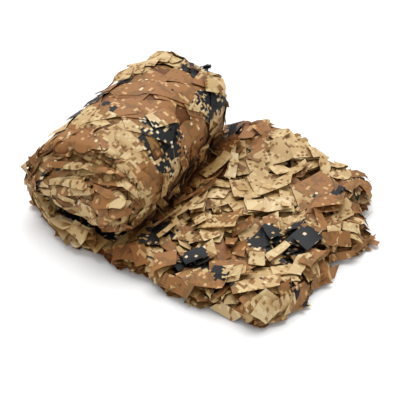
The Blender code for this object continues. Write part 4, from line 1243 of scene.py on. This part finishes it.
printCloth = {  # the printed pattern, in metres on the flat cloth
    "square": 0.0042,  # one printed square
    "weave": 0.0010,  # its threads lie about 0.3 mm apart, too fine to show, so they are drawn coarser
    "shade": (0.80, 1.16, 1.85),  # painted shade: where the first tone channel is low, mostly from the painted gap shade, the colour darkens and warms by these powers: red, green and blue
    "sand": "#C9AA78", "straw": "#D8BE8D", "cream": "#E6D3AE", "brown": "#9E6C3C", "olive": "#8A683A",
    "fine": "#9A7243", "umber": "#886036", "black": "#15161A", "dot": "#8E6238", "paleDot": "#CFA673",
    # where these colours show: the size, seed and detail of their noise, the seed and depth of their
    # ragged edge, and the level from which they are printed
    "specks": {
        "straw": (0.026, 1.3, 2.0, 5, 0.16, 0.540), "fine": (0.011, 2.9, 1.0, 17, 0.10, 0.598),
        "umber": (0.018, 8.3, 2.0, 23, 0.10, 0.545), "paleDot": (0.013, 5.7, 1.0, 19, 0.16, 0.655),
    },
    "starts": {"olive": 0.525, "brown": 0.575, "dot": 0.958, "rim": 0.640, "black": 0.675},
    "rimShare": 0.35,  # how many of the squares round a black patch are pale
    "holeShare": 0.025,  # how many squares are left out of it
    "crinkle": 0.011,
    # the larger areas: part, place along it and across it, half sizes in metres, colour. On the roll the
    # first is the turn and the second y; on the loose end they are x and y.
    "areas": (
        ("roll", 0.27, 0.03, 0.140, 0.045, "brown"), ("roll", 0.35, 0.03, 0.040, 0.035, "brown"),
        ("roll", 0.28, 0.09, 0.050, 0.030, "brown"), ("roll", 0.215, -0.024, 0.060, 0.020, "brown"),
        ("roll", 0.435, -0.080, 0.030, 0.014, "brown"), ("roll", 0.405, -0.096, 0.022, 0.014, "brown"),
        ("roll", 0.16, -0.145, 0.050, 0.030, "brown"), ("roll", 0.23, -0.105, 0.045, 0.020, "brown"),
        ("roll", 0.36, -0.135, 0.040, 0.020, "brown"), ("roll", 0.28, -0.082, 0.030, 0.030, "sand"),
        ("roll", 0.34, -0.104, 0.050, 0.030, "sand"), ("roll", 0.22, -0.083, 0.030, 0.018, "sand"),
        ("roll", 0.17, 0.070, 0.040, 0.040, "sand"), ("roll", 0.20, 0.120, 0.050, 0.030, "sand"),
        ("roll", 0.38, 0.138, 0.030, 0.020, "sand"), ("roll", 0.39, 0.057, 0.020, 0.030, "sand"),
        ("roll", 0.340, -0.028, 0.016, 0.022, "black"), ("roll", 0.385, -0.030, 0.036, 0.036, "black"),
        ("roll", 0.440, -0.050, 0.026, 0.014, "black"), ("roll", 0.402, 0.102, 0.030, 0.032, "black"),
        ("roll", 0.195, -0.035, 0.006, 0.007, "black"), ("roll", 0.231, -0.041, 0.006, 0.006, "black"),
        ("roll", 0.11, -0.014, 0.020, 0.025, "black"), ("roll", 0.10, -0.075, 0.020, 0.030, "black"),
        ("roll", 0.312, 0.128, 0.014, 0.014, "black"), ("loose", 0.163, -0.024, 0.023, 0.028, "black"),
        ("loose", 0.205, 0.000, 0.030, 0.034, "black"), ("loose", 0.195, 0.126, 0.010, 0.020, "black"),
        ("loose", 0.016, -0.102, 0.026, 0.022, "black"), ("loose", 0.029, -0.130, 0.016, 0.014, "black"),
        ("loose", 0.103, -0.124, 0.030, 0.018, "black"), ("loose", 0.158, -0.129, 0.018, 0.014, "black"),
        ("loose", 0.245, -0.072, 0.012, 0.010, "black"), ("loose", -0.020, 0.150, 0.020, 0.020, "black"),
        ("loose", -0.010, 0.030, 0.015, 0.050, "brown"), ("loose", 0.010, 0.165, 0.035, 0.030, "brown"),
        ("loose", 0.146, 0.121, 0.022, 0.030, "brown"), ("loose", 0.190, 0.075, 0.020, 0.020, "brown"),
        ("loose", 0.070, -0.139, 0.030, 0.018, "brown"), ("loose", 0.133, -0.069, 0.018, 0.020, "brown"),
        ("loose", -0.010, -0.174, 0.030, 0.018, "brown"), ("loose", 0.262, 0.071, 0.016, 0.040, "brown"),
        ("loose", 0.097, 0.162, 0.060, 0.035, "sand"), ("loose", 0.147, 0.038, 0.030, 0.015, "sand"),
        ("loose", 0.067, 0.040, 0.040, 0.040, "sand"), ("loose", 0.060, -0.039, 0.020, 0.020, "sand"),
        ("loose", 0.094, -0.066, 0.020, 0.020, "sand"), ("loose", 0.116, 0.077, 0.030, 0.030, "sand"),
        ("loose", 0.229, -0.112, 0.030, 0.030, "sand"),
    ),
}


def clothPrint(tree):  # the digital camouflage: every value is constant over one printed square
    add = partial(addNode, tree)
    side, starts = printCloth["square"], printCloth["starts"]

    def field(size, seed, detail):  # smooth noise with patches of that size
        shift = (seed, 2.7 * seed, 0)
        place = add("VectorMath", square, (1 / size, 1 / size, 0), shift, operation="MULTIPLY_ADD")
        return add("TexNoise", Vector=place, Scale=1.0, Detail=detail, Roughness=0.6)

    def grain(seed):  # an even random value a square
        place = add("VectorMath", index, (seed, 3.1 * seed, 0), operation="ADD")
        return add("TexWhiteNoise", Vector=place, output="Value")

    def ragged(value, seed, depth):  # its patches get an edge that is uneven by single squares
        jitter = add("Math", grain(seed), depth, -depth / 2, operation="MULTIPLY_ADD")
        return add("Math", jitter, value, operation="ADD")

    def plus(value, extra, share):  # a share of the second added to the first
        return add("Math", value, add("Math", extra, share, operation="MULTIPLY"), operation="ADD")

    def together(first, firstShare, second, secondShare):  # two patterns by their weights
        second = add("Math", second, secondShare, operation="MULTIPLY")
        return add("Math", first, firstShare, second, operation="MULTIPLY_ADD")

    def over(below, above, value, start):  # a colour printed over another, where the value passes its start
        mask = add("Math", value, start, operation="GREATER_THAN")
        # Five sockets for numbers and vectors come before those for colours.
        return add("Mix", mask, *[None] * 5, below, above, data_type="RGBA", output=2)

    def speckled(below, name, lean=None):
        size, seed, detail, edgeSeed, depth, start = printCloth["specks"][name]
        value = ragged(field(size, seed, detail), edgeSeed, depth)
        return over(below, printCloth[name], plus(value, lean, 0.12) if lean else value, start)

    flat = add("UVMap", uv_map="flatCloth")
    index = add("VectorMath", add("VectorMath", flat, Scale=1 / side, operation="SCALE"), operation="FLOOR")
    square = add("VectorMath", index, Scale=side, operation="SCALE")
    areas = {}  # how far inside the larger areas of each colour a place is
    for place, a, b, halfA, halfB, name in printCloth["areas"]:
        centre = (loose["reach"] - a, cloth["looseMiddle"] + b, 0)
        if place == "roll":
            centre = (alongTurn(a + 1), cloth["rollMiddle"] + b, 0)
        offset = add("VectorMath", square, centre, operation="SUBTRACT")
        offset = add("VectorMath", offset, (1 / halfA, 1 / halfB, 0), operation="MULTIPLY")
        far = add("VectorMath", offset, operation="LENGTH", output="Value")
        near = add("Math", 1.35, far, operation="SUBTRACT", use_clamp=True)
        areas[name] = add("Math", areas[name], near, operation="MAXIMUM") if name in areas else near
    tone = add("SeparateColor", add("Attribute", attribute_name="toneAndShade", output="Color")).node.outputs
    brownLean, blackLean = (add("Math", tone[k], 0.5, operation="SUBTRACT") for k in (1, 2))

    # the sand ground with its specks
    colour = speckled(printCloth["sand"], "straw")
    colour = speckled(colour, "fine", brownLean)
    colour = over(colour, printCloth["dot"], grain(21), starts["dot"])

    # the brown patches: large ones and small ones, held to their areas
    patches = ragged(together(field(0.050, 4.1, 2.0), 0.55, field(0.019, 9.4, 1.0), 0.45), 9, 0.06)
    patches = plus(plus(plus(patches, areas["brown"], 0.45), areas["sand"], -0.30), brownLean, 1.0)
    browns = over(printCloth["olive"], printCloth["brown"], patches, starts["brown"])
    browns = speckled(speckled(browns, "umber"), "paleDot")
    colour = over(colour, browns, patches, starts["olive"])

    # the black patches, with some pale squares round them and some left out of them
    blots = together(field(0.040, 7.7, 3.0), 0.40, field(0.015, 3.3, 1.0), 0.60)
    lean = together(areas["black"], 0.45, blackLean, 1.2)
    most = add("Math", add("Math", tone[2], 0.48, operation="SUBTRACT"), 0.275, operation="MAXIMUM")
    blots = add("Math", blots, add("Math", lean, most, operation="MINIMUM"), operation="ADD")
    blots = plus(blots, add("Math", grain(13), 0.5, operation="SUBTRACT"), 0.12)
    rim = add("Math", blots, starts["rim"], operation="GREATER_THAN")
    rim = add("Math", rim, grain(31), operation="MULTIPLY")
    colour = over(colour, printCloth["cream"], rim, 1 - printCloth["rimShare"])
    whole = add("Math", grain(41), 1 - printCloth["holeShare"], operation="LESS_THAN")
    blots = add("Math", whole, blots, operation="MULTIPLY")
    colour = over(colour, printCloth["black"], blots, starts["black"])

    # how much light comes in between the leaves
    light = add("Math", tone[0], brightest, operation="MULTIPLY")
    shades = [add("Math", light, power, operation="POWER") for power in printCloth["shade"]]
    return add("VectorMath", colour, add("CombineXYZ", *shades), operation="MULTIPLY")


def printedPolyester():
    # Printed polyester taffeta: a tight plain weave with a soft sheen, and small crinkles.
    material = newMaterial("printed polyester taffeta", {
        "Roughness": 0.55, "Specular IOR Level": 0.28, "Sheen Weight": 0.05, "Sheen Roughness": 0.4,
    })
    tree = material.node_tree
    add = partial(addNode, tree)
    shader = tree.nodes["Principled BSDF"].inputs
    tree.links.new(clothPrint(tree), shader["Base Color"])
    place = add("TexCoord", output="Object")
    crinkle = add("TexNoise", Vector=place, Scale=1 / printCloth["crinkle"], Detail=4.0, Roughness=0.6)
    flat = add("UVMap", uv_map="flatCloth")
    crossed = add("VectorMath", flat, Scale=math.pi / printCloth["weave"], operation="SCALE")
    crossed = add("SeparateXYZ", add("VectorMath", crossed, operation="SINE")).node.outputs
    weave = add("Math", crossed[0], crossed[1], operation="MULTIPLY")
    bump = add("Bump", Height=weave, Strength=0.5, Distance=0.00012)
    bump = add("Bump", Height=crinkle, Strength=0.35, Distance=0.0016, Normal=bump)
    tree.links.new(bump, shader["Normal"])
    return material


def twistedTwine():  # polyester twine of the carrier mesh: matt and pale
    return newMaterial("polyester twine", {"Base Color": "#8F7048", "Roughness": 0.8})


def whiteFloor():  # matt white paper, as a plain pale backdrop
    return newMaterial("matt white paper", {"Base Color": "#FFFFFF", "Roughness": 0.9})


view = {"target": (0.020, 0.0, 0.030), "azimuth": 38, "elevation": 40, "distance": 1.4, "angle": 25}
light = {"sky": 0.60, "lamp": 2.40, "lampAngle": 50, "lampFrom": (-0.30, 0.38, 0.87), "floorSize": 12}


def buildStudio():
    bpy.ops.object.select_all(action="DESELECT")
    bpy.ops.mesh.primitive_plane_add(size=light["floorSize"], location=(0, 0, 0))
    floor = bpy.context.object
    floor.name = "floor"
    floor.data.materials.append(whiteFloor())
    world = bpy.data.worlds.new("softSky")
    world.use_nodes = True
    sky = world.node_tree.nodes["Background"].inputs
    sky["Color"].default_value = (1, 1, 1, 1)
    sky["Strength"].default_value = light["sky"]
    scene = bpy.context.scene
    scene.world = world
    scene.view_settings.view_transform = "Standard"
    lamp = bpy.data.lights.new("softLamp", "SUN")
    lamp.energy, lamp.angle = light["lamp"], math.radians(light["lampAngle"])
    lampPiece = bpy.data.objects.new("softLamp", lamp)
    lampPiece.rotation_euler = (-Vector(light["lampFrom"])).to_track_quat("-Z", "Y").to_euler()
    scene.collection.objects.link(lampPiece)
    azimuth, elevation = math.radians(view["azimuth"]), math.radians(view["elevation"])
    flat = math.cos(elevation)
    back = Vector((math.sin(azimuth) * flat, -math.cos(azimuth) * flat, math.sin(elevation)))
    lens = bpy.data.cameras.new("camera")
    lens.angle = math.radians(view["angle"])
    camera = bpy.data.objects.new("camera", lens)
    camera.location = Vector(view["target"]) + back * view["distance"]
    camera.rotation_euler = (-back).to_track_quat("-Z", "Y").to_euler()
    scene.collection.objects.link(camera)
    scene.camera = camera


print("net cloth")
netCloth = buildNetCloth()
print("loose leaves", layLoose())
print("roll leaves", layRoll())
cloths = printedPolyester()
pieces = [joinLeaves(name, leaves) for name, leaves in groups.items() if leaves]
print("gaps")
shadeGaps([netCloth, *pieces])
for piece in [netCloth, *pieces]:
    piece.data.materials.append(cloths)
    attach(piece, "root")
print("threads")
loops = buildThreads()
loops.data.materials.append(twistedTwine())
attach(loops, "root")
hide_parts("rolled_net", "loose_end")
print("studio")
buildStudio()
